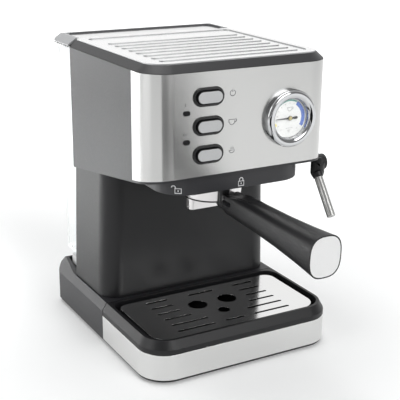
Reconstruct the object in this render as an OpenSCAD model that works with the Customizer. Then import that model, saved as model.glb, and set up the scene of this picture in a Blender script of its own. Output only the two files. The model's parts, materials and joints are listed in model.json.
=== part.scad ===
// Espresso machine, freestanding, with a filter holder, steam wand, clear rear tank and drip tray.
// Frame: origin on the counter under the middle of the base, +X to the machine's right as it
// is seen from the front, -Y to the front, +Z up. Millimetres.

/* [Base] */
// Width of the base
base_w = 206; // [196:1:216]
// Depth of the base
base_d = 234; // [226:1:246]
// Height of the base's flat top above the counter
base_h = 43.5; // [42:0.5:46]
// Radius of the base's front corners
base_r = 28; // [20:1:34]
// Height that the rubber feet stand proud
foot_h = 2.5; // [2:0.5:6]
// Radius of a rubber foot
foot_r = 9; // [6:1:12]
// Inset of the feet from the base's sides
foot_inset = 20; // [16:1:30]
// Thickness of the base plate
plate_t = 2; // [1.5:0.5:3]
// Height of the sloping shoulder round the base's top
shoulder_h = 8.2; // [5:0.2:10]
// Inward lean of that shoulder
shoulder_in = 4.7; // [3:0.1:6]
// Rise of the cradle round the tank's foot
cradle_h = 7; // [4:0.5:10]
// Distance of the seam between tray and rear base behind the front
seam_from_front = 109.6; // [104:0.2:112]

/* [Drip tray] */
// Clearance under and behind the drip tray
tray_gap = 0.3; // [0.3:0.1:0.8]
// Height of the steel band's top edge
band_top = 30.3; // [26:0.1:33]
// Thickness of the steel band
band_t = 0.8; // [0.5:0.1:1.2]
// Wall of the drip tray
tray_wall = 2.6; // [2:0.1:3.5]
// Width of the tray's flat rim
rim_w = 3; // [2:0.2:5]
// Gap between the rim and the grille at the sides and back
grille_gap = 5.3; // [4:0.1:7]
// Gap between the rim and the grille at the front
grille_front_gap = 3.5; // [2:0.1:5]
// Depth of the grille's face below the rim
grille_drop = 2.5; // [1.5:0.5:4]
// Sheet thickness of the grille
grille_t = 1; // [0.6:0.1:1.5]
// Depth of the grille's turned-down edge
grille_edge = 6.5; // [5:0.5:8]
// Radius of the two large drip holes
drip_r = 9.8; // [7:0.1:12]
// Radius of the small drip hole
drip_small_r = 6; // [4:0.1:7]
// Width of a drip slot
slot_w = 3; // [2:0.1:4]
// Pitch of the slot rows
slot_pitch = 13.9; // [12:0.1:14.5]

/* [Column and head] */
// Width of the column at its foot
column_w = 193.8; // [184:0.2:196]
// Inward lean of each side of the column over its height
column_lean = 4; // [0:0.5:5]
// Radius of the column's front edges
column_r = 20; // [12:1:26]
// Distance of the column's front face behind the middle
column_front = -3; // [-5:0.5:5]
// Width of the head
head_w = 193.4; // [188:0.2:198]
// Distance of the head's front face before the middle
head_front = 103.2; // [100:0.2:110]
// Distance of the head's back behind the middle
head_back = 75.3; // [72:0.2:78]
// Radius of the head's front corners
head_r = 25.3; // [20:0.1:28]
// Height of the head's lower edge at the front
head_low = 191.5; // [188:0.5:195]
// Fall of the head's underside per millimetre towards the back
head_fall = 0.154; // [0.1:0.002:0.2]
// Height of the top of the head's walls
head_top = 288.1; // [284:0.1:294]
// Wall of the housings
shell_t = 2.5; // [2:0.1:3.5]
// Sheet thickness of the steel front
steel_t = 0.8; // [0.5:0.1:1.2]
// Length of the steel front's return along each side
steel_return = 34.6; // [30:0.2:50]
// Height of the black lip under the steel front
lip_h = 2.2; // [1:0.1:4]
// Height of the top rim
rim_h = 7.7; // [6:0.1:10]
// Inward lean of the top rim
rim_in = 8.2; // [6:0.1:10]
// Upright land at the foot of the rim
rim_land = 0.3; // [0.2:0.1:1]
// Width of the rim's flat top
rim_flat = 5.8; // [4:0.2:8]
// Sheet thickness of the cup plate
cup_t = 1.2; // [0.8:0.1:2]
// Number of ribs on the cup plate
rib_n = 8; // [6:1:9]
// Pitch of those ribs
rib_pitch = 15.5; // [12:0.5:16]

/* [Group and filter holder] */
// Distance of the group's axis before the middle
group_front = 46; // [44:0.5:48]
// Half width of the shroud round the group
shroud_hw = 75; // [68:0.5:80]
// Radius of the shroud's front corners
shroud_r = 30; // [20:1:34]
// Height of the shroud's underside
shroud_low = 175.5; // [174:0.5:178]
// Radius of the filter holder's bowl at its mouth
bowl_r = 30.6; // [29:0.1:32]
// Radius of the bowl at its foot
bowl_foot_r = 27.7; // [26:0.1:29]
// Height of the bowl's foot
bowl_low = 155.2; // [153:0.2:158]
// Height of the bowl's mouth
bowl_top = 186.6; // [185:0.2:188]
// Wall of the bowl
bowl_wall = 3; // [2.5:0.1:3.5]
// Reach of the locking ears beyond the bowl
ear_reach = 3; // [2:0.1:3.5]
// Angle that the holder turns to unlock
unlock_deg = 53; // [40:1:60]
// Height of the spout block
spout_h = 11.7; // [9:0.1:14]
// Width of the spout block
spout_w = 54; // [46:1:56]
// Depth of the spout block
spout_d = 12; // [11:0.5:16]
// Length of the handle's grip
grip_len = 151.5; // [130:0.5:160]
// Width of the grip at its end
grip_w = 32.5; // [28:0.5:38]
// Height of the grip over its width
grip_ratio = 1.175; // [1:0.005:1.3]
// Width of the grip at its neck
neck_w = 21.5; // [20:0.5:24]
// Downward slope of the grip
grip_fall = 2; // [0:0.5:5]

/* [Controls] */
// Length of a button's bezel
bezel_w = 31; // [27:0.5:34]
// Height of a button's bezel
bezel_h = 17; // [14:0.5:18]
// Black border of a bezel
bezel_border = 2.6; // [2:0.1:4]
// Gap between a button and its bezel
button_gap = 0.4; // [0.3:0.05:0.8]
// Reach of a button before its bezel
button_reach = 3; // [2:0.5:4]
// Travel of a button
button_travel = 2.5; // [1.5:0.5:3]
// Distance of the buttons to the left of the middle
button_left = 38.2; // [34:0.2:44]
// Pitch of the buttons as a share of the head's height
pitch_share = 0.269; // [0.25:0.001:0.29]
// Height of the middle button as a share of the head's height
panel_share = 0.497; // [0.48:0.001:0.52]
// Height of the gauge as a share of the head's height
gauge_share = 0.474; // [0.46:0.001:0.5]
// Distance of the gauge to the right of the middle
gauge_right = 47.7; // [44:0.1:52]
// Outer radius of the gauge's bezel
gauge_r = 27; // [25:0.5:30]
// Reach of the gauge's bezel before the steel
gauge_reach = 7; // [5:0.5:9]
// Radius of the gauge's dial
dial_r = 18; // [17:0.5:21]
// Radius of the steam knob
knob_r = 19; // [15:0.5:21]
// Depth of the steam knob
knob_d = 20; // [14:0.5:24]
// Distance of the steam knob before the middle
knob_front = 30; // [24:1:36]

/* [Steam wand] */
// Height of the wand's pivot above the counter
wand_z = 179.8; // [177:0.2:180]
// Distance of the wand to the right of the middle
wand_x = 94.5; // [93:0.5:95.5]
// Radius of the wand's knuckle
knuckle_r = 6.9; // [6.5:0.1:7.3]
// Forward tilt of the wand from the vertical
wand_tilt = 35.7; // [30:0.1:40]
// Reach of the knuckle below the pivot
knuckle_len = 12.5; // [10:0.5:14]
// Radius of the wand's steel sleeve
wand_r = 4.2; // [4:0.1:4.6]
// Length of the wand from its pivot to its tip
wand_len = 52.9; // [48:0.5:70]
// Radius of the thumb tab
tab_r = 8; // [6:0.5:9]

/* [Water tank] */
// Clearance between the tank and the back of the machine
tank_gap = 1.7; // [1.5:0.1:3]
// Depth of the tank
tank_d = 38; // [34:0.5:39]
// Inset of the tank's foot end from the column's sides
tank_inset = 4.9; // [3.9:0.1:9]
// Outward lean of each side of the tank over its height
tank_lean = 4; // [2:0.5:5]
// Height of the tank's foot edge above the base's top
tank_lift = 20.5; // [16:0.5:26]
// Wall of the tank
tank_wall = 2.2; // [1.6:0.1:3]
// Radius of the tank's upright back edges
tank_r = 8; // [5:0.5:10]
// Overhang of the lid beyond the head's sides
lid_over = 0.8; // [0:0.1:1.3]
// Depth of the lid's recess
lid_recess = 3.3; // [2:0.1:4]

/* [Inner works] */
// Radius of the boiler
boiler_r = 35; // [32:0.5:35.5]
// Bore of the water hoses
hose_bore = 2; // [1.5:0.1:2.5]
// Radius of the water hoses
hose_r = 4; // [3.5:0.1:4.5]
// Distance of the pump and hoses to the left of the middle
pump_left = 20; // [16:1:24]
// Running clearance of pins and stems in their bores
fit = 0.05; // [0.02:0.01:0.1]
// Air gap between parts that move past each other
air = 0.3; // [0.3:0.05:0.4]

/* [Hidden] */
$fn = 96;

base_hw = base_w / 2;
front_y = -base_d / 2;
back_y = base_d / 2;
body_z = foot_h + plate_t;
shoulder_z = base_h - shoulder_h;
seam_y = front_y + seam_from_front;
rear_y = seam_y + tray_gap;
tray_back_y = seam_y - tray_gap;
head_hw = head_w / 2;
head_y = -head_front;
head_h = head_top - head_low;
panel_mid = head_low + round(panel_share * head_h);
gauge_z = head_low + round(gauge_share * head_h);
button_pitch = round(pitch_share * head_h);
rim_z = head_top + rim_h;
group_y = -group_front;
big = 400;
wall_y = tank_gap + head_back;

// Height of the head's underside at a distance y behind the middle
function under_z(y) = head_low - head_fall * (y - head_y);

// ---------- shared shapes ----------

// Rounded outline between y0 and y1 with its own front and back corner radii
module outline(hw, y0, y1, rf, rb) {
    translate([-hw, y0 + rf]) square([2 * hw, y1 - y0 - rf - rb]);
    translate([-hw + rf, y0]) square([2 * (hw - rf), y1 - y0 - rb]);
    translate([-hw + rb, y0 + rf]) square([2 * (hw - rb), y1 - y0 - rf]);
    for (s = [-1, 1]) {
        translate([s * (hw - rf), y0 + rf]) circle(rf);
        translate([s * (hw - rb), y1 - rb]) circle(rb);
    }
}

// Outline with square back corners
module open_outline(hw, y0, y1, rf) {
    translate([-hw, y0 + rf]) square([2 * hw, y1 - y0 - rf]);
    translate([-hw + rf, y0]) square([2 * (hw - rf), y1 - y0]);
    for (s = [-1, 1]) translate([s * (hw - rf), y0 + rf]) circle(rf);
}

// Slab with rounded front corners whose front and sides rise upright to the height kink, and
// lean inwards above it
module leaning_slab(hw, y0, y1, r, z0, kink, z1, lean) {
    along_x(-(hw - r), hw - r)
        polygon([[y0, z0], [y1, z0], [y1, z1], [y0 + lean, z1], [y0, kink]]);
    for (s = [0, 1]) mirror([s, 0, 0]) {
        along_y(y0 + r, y1)
            polygon([[hw - r, z0], [hw, z0], [hw, kink], [hw - lean, z1], [hw - r, z1]]);
        translate([hw - r, y0 + r, 0]) rotate([0, 0, -90]) rotate_extrude(angle = 90)
            polygon([[0, z0], [r, z0], [r, kink], [r - lean, z1], [0, z1]]);
    }
}

// Extrude a drawing of (y, z) points along X
module along_x(x0, x1) {
    translate([x0, 0, 0]) rotate([90, 0, 90]) linear_extrude(x1 - x0) children();
}

// Extrude a drawing of (x, z) points along Y
module along_y(y0, y1) {
    translate([0, y1, 0]) rotate([90, 0, 0]) linear_extrude(y1 - y0) children();
}

// Everything above the head's sloping underside raised by dz, and everything below it
module above_slope(dz) {
    along_x(-big / 2, big / 2)
        polygon([[-big / 2, under_z(-big / 2) + dz], [big / 2, under_z(big / 2) + dz],
                 [big / 2, big], [-big / 2, big]]);
}
module below_slope(dz) {
    along_x(-big / 2, big / 2)
        polygon([[-big / 2, 0], [big / 2, 0], [big / 2, under_z(big / 2) + dz],
                 [-big / 2, under_z(-big / 2) + dz]]);
}

// Upright prism whose sides lean by lean over the height z0 to z1, outwards if positive
module leaning_sides(hw, z0, z1, lean) {
    angle = atan(lean / (z1 - z0));
    for (s = [0, 1]) mirror([s, 0, 0]) intersection() {
        translate([hw, 0, z0]) rotate([0, angle, 0]) translate([-hw, 0, -big / 10])
            linear_extrude(big) children();
        translate([0, -big / 2, 0]) cube([big / 2, big, big]);
    }
}

// Pill drawing, w long and h high
module pill(w, h) {
    square([w - h, h], center = true);
    for (s = [-1, 1]) translate([s * (w - h) / 2, 0]) circle(h / 2);
}

// Place a drawing on the front face, extruded from depth y0 to y1
module on_front(x, z, y0, y1) {
    translate([x, y1, z]) rotate([90, 0, 0]) linear_extrude(y1 - y0) children();
}

// Cylinder along Y from y0 to y1
module rod_y(x, z, y0, y1, r) {
    translate([x, y0, z]) rotate([-90, 0, 0]) cylinder(r = r, h = y1 - y0);
}

// Cylinder along X from x0 to x1
module rod_x(y, z, x0, x1, r) {
    translate([x0, y, z]) rotate([0, 90, 0]) cylinder(r = r, h = x1 - x0);
}

// Quarter bend in the plane of X = 0, from +Z towards +Y, centred on its own bend centre
module bend(bend_r, r, bore) {
    rotate([90, 0, 90]) rotate_extrude(angle = 90) translate([bend_r, 0]) difference() {
        circle(r);
        circle(bore);
    }
}

// Straight tube along Z
module tube(r, bore, h) {
    difference() {
        cylinder(r = r, h = h);
        translate([0, 0, -1]) cylinder(r = bore, h = h + 2);
    }
}

// ---------- base ----------

cradle_z = base_h + cradle_h;
cradle_in = shoulder_in * (1 + cradle_h / shoulder_h);
cradle_start = head_back + 4;
pocket_hw = base_hw - cradle_in - 3;
pocket_y0 = wall_y + 0.5;
pocket_y1 = back_y - cradle_in + shoulder_in - 3;
valve_y = (pocket_y0 + pocket_y1) / 2;
gland_x = 70;
gland_z = 22;
gland_bore = 3.6;
gland_neck_r = 6.5;
gland_len = 14;

module rear_base() color("#3a3a3d") {
    deck = 2.5;
    difference() {
        intersection() {
            along_y(rear_y, back_y)
                polygon([[-base_hw, body_z], [base_hw, body_z], [base_hw, shoulder_z],
                         [base_hw - cradle_in, cradle_z], [cradle_in - base_hw, cradle_z],
                         [-base_hw, shoulder_z]]);
            along_x(-base_hw, base_hw)
                polygon([[rear_y, body_z], [back_y, body_z], [back_y, base_h],
                         [back_y - cradle_in + shoulder_in, cradle_z],
                         [back_y - cradle_in + shoulder_in - 4, cradle_z],
                         [cradle_start, base_h], [rear_y, base_h]]);
            linear_extrude(cradle_z + 1) mirror([0, 1]) open_outline(base_hw, -back_y, -rear_y, 8);
        }
        translate([-base_hw + shell_t, rear_y + shell_t, body_z - 1])
            cube([base_w - 2 * shell_t, back_y - rear_y - 2 * shell_t, shoulder_z - body_z - 1]);
        translate([-base_hw + shoulder_in + shell_t, rear_y + shell_t, body_z])
            cube([base_w - 2 * shoulder_in - 2 * shell_t,
                  back_y - rear_y - 2 * shell_t, base_h - body_z - deck]);
        translate([-pocket_hw, pocket_y0, base_h])
            cube([2 * pocket_hw, pocket_y1 - pocket_y0, cradle_h + 1]);
        translate([-pump_left, valve_y, base_h - deck - 1]) cylinder(r = seat_neck_r, h = deck + 2);
        translate([-pump_left, pump_y, base_h - deck - 1])
            cylinder(r = hose_r + 2, h = deck + 2);
        rod_y(gland_x, gland_z, back_y - shell_t - 1, back_y + 1, gland_neck_r);
    }
    for (x = [-1, 1], y = [rear_y + 14, back_y - 34])
        translate([x * (base_hw - 16), y, body_z]) difference() {
            cylinder(r = 5, h = base_h - deck - body_z);
            translate([0, 0, -1]) cylinder(r = 1.6, h = 15);
        }
}

module base_plate() color("#2e2e31") {
    inset = 1.2;
    difference() {
        union() {
            translate([0, 0, foot_h]) linear_extrude(plate_t)
                outline(base_hw - inset, front_y + inset, back_y - inset, base_r - inset, 8);
            for (x = [-1, 1])
                translate([x * rail_x - rail_w / 2, front_y + 18, body_z])
                    cube([rail_w, seam_from_front - 30, rail_h]);
        }
        for (x = [-1, 1], y = [rear_y + 14, back_y - 34])
            translate([x * (base_hw - 16), y, 0]) cylinder(r = 1.8, h = big / 4);
        for (x = [-1, 1], y = [-1, 1])
            translate([x * (base_hw - foot_inset), y * (back_y - foot_inset), 0])
                cylinder(r = 3, h = foot_h + plate_t + 1);
    }
}

module rubber_feet() color("#202020")
    for (x = [-1, 1], y = [-1, 1])
        translate([x * (base_hw - foot_inset), y * (back_y - foot_inset), 0]) {
            cylinder(r1 = foot_r - 0.6, r2 = foot_r, h = 0.6);
            translate([0, 0, 0.6]) cylinder(r = foot_r, h = foot_h - 0.6);
            translate([0, 0, foot_h]) cylinder(r = 3, h = plate_t);
        }

module base_screws() color("#b8b8bc")
    for (x = [-1, 1], y = [rear_y + 14, back_y - 34])
        translate([x * (base_hw - 16), y, foot_h - 1.6]) difference() {
            union() {
                cylinder(r = 3.2, h = 1.6);
                cylinder(r = 1.5, h = 12);
            }
            translate([0, 0, -1]) cylinder(r = 1.6, h = 2, $fn = 6);
        }

module cord_gland() color("#1c1c1e") difference() {
    union() {
        rod_y(gland_x, gland_z, back_y - shell_t, back_y, gland_neck_r);
        rod_y(gland_x, gland_z, back_y, back_y + 2, gland_neck_r + 2.5);
        translate([gland_x, back_y + 2, gland_z]) rotate([-90, 0, 0])
            cylinder(r1 = gland_neck_r, r2 = gland_bore + 1.4, h = gland_len - 2);
        rod_y(gland_x, gland_z, back_y - shell_t - 2, back_y - shell_t, gland_neck_r + 2);
    }
    rod_y(gland_x, gland_z, back_y - shell_t - 3, back_y + gland_len + 1, gland_bore);
}

// ---------- drip tray ----------

rail_x = 58;
rail_w = 3;
rail_h = 3.2;
tub_hw = base_hw - shoulder_in - rim_w;
tub_y0 = front_y + shoulder_in + rim_w;
tub_y1 = tray_back_y - tray_wall;
tub_r = base_r - shoulder_in - rim_w;
grille_z = base_h - grille_drop;
ledge_z = grille_z - grille_edge - tray_gap;
ledge_w = grille_gap + grille_t + 2;
well_hw = tub_hw - ledge_w;
well_y0 = tub_y0 + ledge_w - grille_gap + grille_front_gap;
well_y1 = tub_y1 - ledge_w;
well_r = tub_r - ledge_w + 2;
tray_z = body_z + tray_gap;
tray_floor_z = tray_z + tray_wall;

module drip_tray() color("#3c3c3f") difference() {
    union() {
        translate([0, 0, tray_z]) linear_extrude(band_top + 1 - tray_z)
            open_outline(base_hw - band_t, front_y + band_t, tray_back_y, base_r - band_t);
        leaning_slab(base_hw, front_y, tray_back_y, base_r, band_top, shoulder_z, base_h,
                     shoulder_in);
    }
    translate([0, 0, ledge_z]) linear_extrude(base_h)
        outline(tub_hw, tub_y0, tub_y1, tub_r, 14);
    difference() {
        translate([0, 0, tray_floor_z]) linear_extrude(base_h)
            outline(well_hw, well_y0, well_y1, well_r, 10);
        for (x = [-1, 1])
            translate([x * rail_x - rail_w / 2 - 2.5, front_y, 0])
                cube([rail_w + 5, base_d, body_z + rail_h + tray_gap + 2]);
    }
    for (x = [-1, 1])
        translate([x * rail_x - rail_w / 2 - tray_gap, front_y + 17, 0])
            cube([rail_w + 2 * tray_gap, base_d, body_z + rail_h + tray_gap]);
    difference() {
        translate([0, 0, tray_z - 1]) linear_extrude(ledge_z - tray_wall - tray_z + 1)
            open_outline(base_hw - band_t - tray_wall, front_y + band_t + tray_wall,
                         tray_back_y - tray_wall, base_r - band_t - tray_wall);
        linear_extrude(big)
            outline(well_hw + tray_wall, well_y0 - tray_wall, well_y1 + tray_wall,
                    well_r + tray_wall, 10 + tray_wall);
    }
}

module tray_band() color("#cfd0d0") translate([0, 0, tray_z])
    linear_extrude(band_top - tray_z) difference() {
        open_outline(base_hw, front_y, tray_back_y, base_r);
        open_outline(base_hw - band_t, front_y + band_t, tray_back_y + 1, base_r - band_t);
    }

grille_hw = tub_hw - grille_gap;
grille_y0 = tub_y0 + grille_front_gap;
grille_y1 = tub_y1 - grille_gap;
grille_r = tub_r - grille_gap + 2;

// One drip slot between x0 and x1
module slot(x0, x1, y) {
    translate([(x0 + x1) / 2, y]) pill(x1 - x0, slot_w);
}

module drip_grille() color("#bdbec0") difference() {
    translate([0, 0, grille_z - grille_edge]) linear_extrude(grille_edge)
        outline(grille_hw, grille_y0, grille_y1, grille_r, 10);
    translate([0, 0, grille_z - grille_edge - 1]) linear_extrude(grille_edge + 1 - grille_t)
        outline(grille_hw - grille_t, grille_y0 + grille_t, grille_y1 - grille_t,
                grille_r - grille_t, 10 - grille_t);
    translate([0, 0, grille_z - grille_t - 1]) linear_extrude(grille_t + 2) {
        first = grille_y1 - 9;
        outer = grille_hw - 27;
        for (i = [0:5], s = [0, 1]) mirror([s, 0])
            slot([38.6, 38.6, 38.6, 33.5, 22.6, 22.2][i], outer, first - i * slot_pitch);
        slot(-14.8, 14.8, first - 1);
        slot(-10.5, 10.5, first - 5 * slot_pitch);
        for (x = [-17, 17]) translate([x, first - 1.8 * slot_pitch]) circle(drip_r);
        translate([0.5, first - 3.4 * slot_pitch]) circle(drip_small_r);
    }
}

// ---------- column and head ----------

column_hw = column_w / 2;
column_top = under_z(column_front);

// Plan of the column, drawn inset by t
module column_plan(t) {
    open_outline(column_hw - t, column_front + t, head_back, column_r - t);
}

module column_housing() color("#4a4a4e") difference() {
    intersection() {
        leaning_sides(column_hw, base_h, column_top, -column_lean) column_plan(0);
        translate([-big / 2, -big / 2, base_h]) cube(big);
        below_slope(0);
    }
    difference() {
        leaning_sides(column_hw - shell_t, base_h, column_top, -column_lean)
            open_outline(column_hw - shell_t, column_front + shell_t, head_back + 1,
                         column_r - shell_t);
        translate([-big / 2, -big / 2, 0]) cube([big, big, 10]);
    }
}

panel_hw = column_hw - column_lean - 6;

module back_panel() color("#333336") difference() {
    intersection() {
        translate([-head_hw, head_back - shell_t, base_h])
            cube([head_w, shell_t, head_top - base_h]);
        union() {
            intersection() {
                below_slope(0);
                leaning_sides(column_hw - shell_t, base_h, column_top, -column_lean)
                    open_outline(column_hw - shell_t, 0, head_back + 1, 1);
            }
            intersection() {
                above_slope(shell_t);
                translate([-panel_hw, 0, 0]) cube([2 * panel_hw, big, big]);
            }
            translate([2 - panel_hw, 0, base_h]) cube([2 * panel_hw - 4, big, big]);
        }
    }
    for (i = [0:6]) on_front(0, head_top - 24 - 7 * i, head_back - shell_t - 1, head_back + 1)
        pill(90, 3);
}

// Plan of the head, drawn inset by t
module head_plan(t) {
    outline(head_hw - t, head_y + t, head_back, head_r - t, 3);
}

// Skin of thickness t that the steel front fills
module front_skin(t) {
    intersection() {
        difference() {
            linear_extrude(head_top) head_plan(0);
            translate([0, 0, -1]) linear_extrude(head_top + 2) head_plan(t);
        }
        above_slope(lip_h);
        translate([-big / 2, head_y - 1, 0])
            cube([big, head_r + 1 + steel_return - head_r, head_top]);
    }
}

module head_housing() color("#46464a") difference() {
    intersection() {
        linear_extrude(head_top) head_plan(0);
        above_slope(0);
    }
    front_skin(steel_t);
    intersection() {
        union() {
            linear_extrude(head_top + 1)
                open_outline(head_hw - steel_t - shell_t, head_y + steel_t + shell_t,
                             head_back - 3, head_r - steel_t - shell_t);
            translate([-panel_hw, 0, 0]) cube([2 * panel_hw, head_back + 1, head_top + 1]);
        }
        above_slope(shell_t);
    }
    translate([-panel_hw + 2, column_front + 6, 0])
        cube([2 * panel_hw - 4, head_back - column_front, head_low + 14]);
    translate([0, group_y, 0]) cylinder(r = collar_or, h = head_low + 14);
    front_holes(shell_t + steel_t + 1, 1);
    rod_x(-knob_front, panel_mid, 0, head_hw + 1, stem_r + 1);
    socket_block();
    translate([spigot_x, wand_y, 0]) cylinder(r = spigot_r, h = head_low + 14);
}

// Openings for the bezels, lenses and gauge, depth deep, grown by extra
module front_holes(depth, extra) {
    for (i = [-1:1])
        on_front(-button_left, panel_mid + i * button_pitch, head_y - 1, head_y + depth)
            pill(bezel_w - 3 + extra, bezel_h - 3 + extra);
    for (i = [0, 1])
        on_front(-lens_left, lens_z(i), head_y - 1, head_y + depth)
            pill(lens_w + extra, lens_h + extra);
    rod_y(gauge_right, gauge_z, head_y - 1, head_y + depth, case_r + extra);
}

module steel_front() color("#d2d3d4") difference() {
    front_skin(steel_t);
    front_holes(steel_t + 1, 0);
}

plate_hw = head_hw - rim_in - rim_flat;
plate_y0 = head_y + rim_in + rim_flat;
plate_r = head_r - rim_in - rim_flat + 3;
plate_y1 = head_back - rim_flat - 1.5;

module top_rim() color("#555558") difference() {
    leaning_slab(head_hw, head_y, head_back - tank_gap, head_r, head_top, head_top + rim_land, rim_z,
                 rim_in);
    translate([-big / 2, -big / 2, rim_z - cup_t]) cube(big);
    translate([0, 0, head_top - 1]) linear_extrude(rim_h + 2)
        outline(plate_hw - 3, plate_y0 + 3, plate_y1 - 3, plate_r - 3, 5);
    translate([0, 0, rim_z - cup_t - 0.8]) linear_extrude(rim_h)
        outline(plate_hw, plate_y0, plate_y1, plate_r, 8);
}

module cup_plate() color("#d8d9da") {
    plate_z = rim_z - 0.8;
    translate([0, 0, plate_z - cup_t]) linear_extrude(cup_t)
        outline(plate_hw - 0.2, plate_y0 + 0.2, plate_y1 - 0.2, plate_r, 8);
    translate([0, 0, rim_z - cup_t]) linear_extrude(cup_t) difference() {
        outline(head_hw - rim_in + 0.9, head_y + rim_in - 0.9, head_back - tank_gap - 0.1,
                head_r - rim_in + 0.9, 3);
        outline(plate_hw - 1.4, plate_y0 + 1.4, plate_y1 - 1.4, plate_r - 1.4, 6.6);
    }
    for (i = [0:rib_n - 1])
        translate([0, plate_y0 + 13 + i * rib_pitch, plate_z]) linear_extrude(0.7)
            pill(2 * plate_hw - 20, 6);
}

// ---------- group ----------

collar_or = 37;
collar_z0 = shroud_low + 1;
lip_z1 = collar_z0 + 3;
basket_lip = 0.8;
gasket_z = bowl_top + basket_lip + air;
ear_from = 50;
ear_span = 30;
ear_z0 = lip_z1 + air;
ear_z1 = bowl_top - 0.6;
groove_r = bowl_r + ear_reach + air;

module group_shroud() color("#36363a") difference() {
    intersection() {
        translate([0, 0, shroud_low]) linear_extrude(big)
            open_outline(shroud_hw, head_y + 4, column_front, shroud_r);
        below_slope(0);
    }
    translate([0, 0, shroud_low + shell_t]) linear_extrude(big)
        open_outline(shroud_hw - shell_t, head_y + 4 + shell_t, column_front - shell_t,
                     shroud_r - shell_t);
    translate([0, group_y, shroud_low - 1]) cylinder(r = bowl_r + ear_reach + 1, h = shell_t + 2);
    translate([0, group_y, collar_z0]) cylinder(r = collar_or, h = big);
}

// Cast collar: a lip with three entry notches, and a groove above it for the ears
module bayonet_collar() color("#b9babc") translate([0, group_y, 0]) {
    difference() {
        translate([0, 0, collar_z0]) cylinder(r = collar_or, h = boiler_z - collar_z0);
        translate([0, 0, collar_z0 - 1]) cylinder(r = bowl_r + air, h = big);
        translate([0, 0, lip_z1]) cylinder(r = groove_r, h = gasket_z + 3.6 - lip_z1);
        for (a = [0:120:240]) rotate([0, 0, a + ear_from - unlock_deg - 4])
            translate([0, 0, collar_z0 - 1])
                rotate_extrude(angle = ear_span + 8)
                    square([groove_r - 0.1, lip_z1 - collar_z0 + 1.5]);
    }
}

module group_gasket() color("#26262a") translate([0, group_y, gasket_z]) difference() {
    cylinder(r = groove_r, h = 3.6);
    translate([0, 0, -1]) cylinder(r = shower_r, h = 6);
}

shower_r = 24;

module shower_plate() color("#c9cacc") translate([0, group_y, gasket_z + 1.2]) difference() {
    cylinder(r = shower_r, h = 1);
    translate([0, 0, -1]) cylinder(r = 2.6, h = 4);
    for (r = [8, 14, 20], a = [0:360 / (r * 0.75):359])
        rotate([0, 0, a]) translate([r, 0, -1]) cylinder(r = 0.9, h = 4, $fn = 16);
}

module shower_screw() color("#d5d5d7") translate([0, group_y, gasket_z]) difference() {
    union() {
        cylinder(r = 4.5, h = 1.2);
        cylinder(r = 2.5, h = 9);
    }
    translate([-3, -0.5, -1]) cube([6, 1, 1.7]);
}

// ---------- boiler ----------

boiler_z = gasket_z + 6;
boiler_half = round(0.352 * head_h);
boiler_mid = boiler_z + boiler_half;
boiler_top = boiler_mid + boiler_half;
flange_r = boiler_r + 6;

module boiler_lower() color("#a8a9ab") translate([0, group_y, 0]) difference() {
    union() {
        translate([0, 0, boiler_z]) cylinder(r = boiler_r, h = boiler_mid - boiler_z);
        translate([0, 0, boiler_mid - 4]) cylinder(r = flange_r, h = 4);
        translate([0, 0, gasket_z + 3.6]) cylinder(r = shower_r + 4, h = 2.4);
    }
    translate([0, 0, boiler_z + 5]) cylinder(r = boiler_r - 5, h = boiler_mid);
    translate([0, 0, gasket_z]) cylinder(r = 2.5, h = 12);
    boiler_bolt_holes();
}

module boiler_bolt_holes() for (a = [45:90:315]) rotate([0, 0, a])
    translate([boiler_r + 3, 0, boiler_z]) cylinder(r = 1.6, h = 2 * boiler_half);

module boiler_upper() color("#b0b1b3") translate([0, group_y, 0]) difference() {
    union() {
        translate([0, 0, boiler_mid]) cylinder(r = flange_r, h = 4);
        translate([0, 0, boiler_mid]) cylinder(r = boiler_r, h = boiler_half - 6);
        rod_y(-pump_left, hose_high_z, 0, port_y - group_y, hose_r + 1);
        translate([0, 0, boiler_top - 6]) cylinder(r1 = boiler_r, r2 = boiler_r - 6, h = 6);
    }
    translate([0, 0, boiler_mid - 1]) cylinder(r = boiler_r - 5, h = boiler_half - 8);
    rod_y(-pump_left, hose_high_z, 10, port_y - group_y + 1, hose_bore);
    boiler_bolt_holes();
    translate([steam_out_x, -group_y - knob_front, boiler_mid]) cylinder(r = pipe_r, h = big);
}

module boiler_bolts() color("#8e8f92") translate([0, group_y, 0])
    for (a = [45:90:315]) rotate([0, 0, a]) translate([boiler_r + 3, 0, 0]) {
        translate([0, 0, boiler_mid + 4]) cylinder(r = 2.9, h = 3, $fn = 6);
        translate([0, 0, boiler_mid - 8]) cylinder(r = 1.6, h = 12);
        translate([0, 0, boiler_mid - 7]) cylinder(r = 2.9, h = 3, $fn = 6);
    }

// Heating element: a rod cast round the boiler, with its two terminals
module heating_element() color("#7d7e81")
    translate([0, group_y, boiler_z + boiler_half - 22]) {
    difference() {
        cylinder(r = boiler_r + 4, h = 8);
        translate([0, 0, -1]) cylinder(r = boiler_r, h = 10);
        translate([-6, 0, -1]) cube([12, boiler_r + 10, 10]);
    }
    for (s = [-1, 1]) rod_y(s * 9, 4, boiler_r - 1, boiler_r + 14, 2.5);
}

module thermostats() color("#e4e0d2") for (x = [-12, 12])
    translate([x, group_y - 12, boiler_top]) {
        cylinder(r = 7, h = 3);
        translate([0, 0, 3]) cylinder(r = 5, h = 4);
    }

// ---------- pump and pipes ----------

pump_y = 30;
pump_z = 72;
pump_w = 38;
pump_inlet = 14;
pump_body = 44;
pump_cap = 8;
pump_h = pump_inlet + pump_body + pump_cap + 10;
bend_r = 10;
hose_low_z = 22;
hose_high_z = boiler_mid + round(0.4 * boiler_half);
port_y = group_y + boiler_r - 2;

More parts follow.
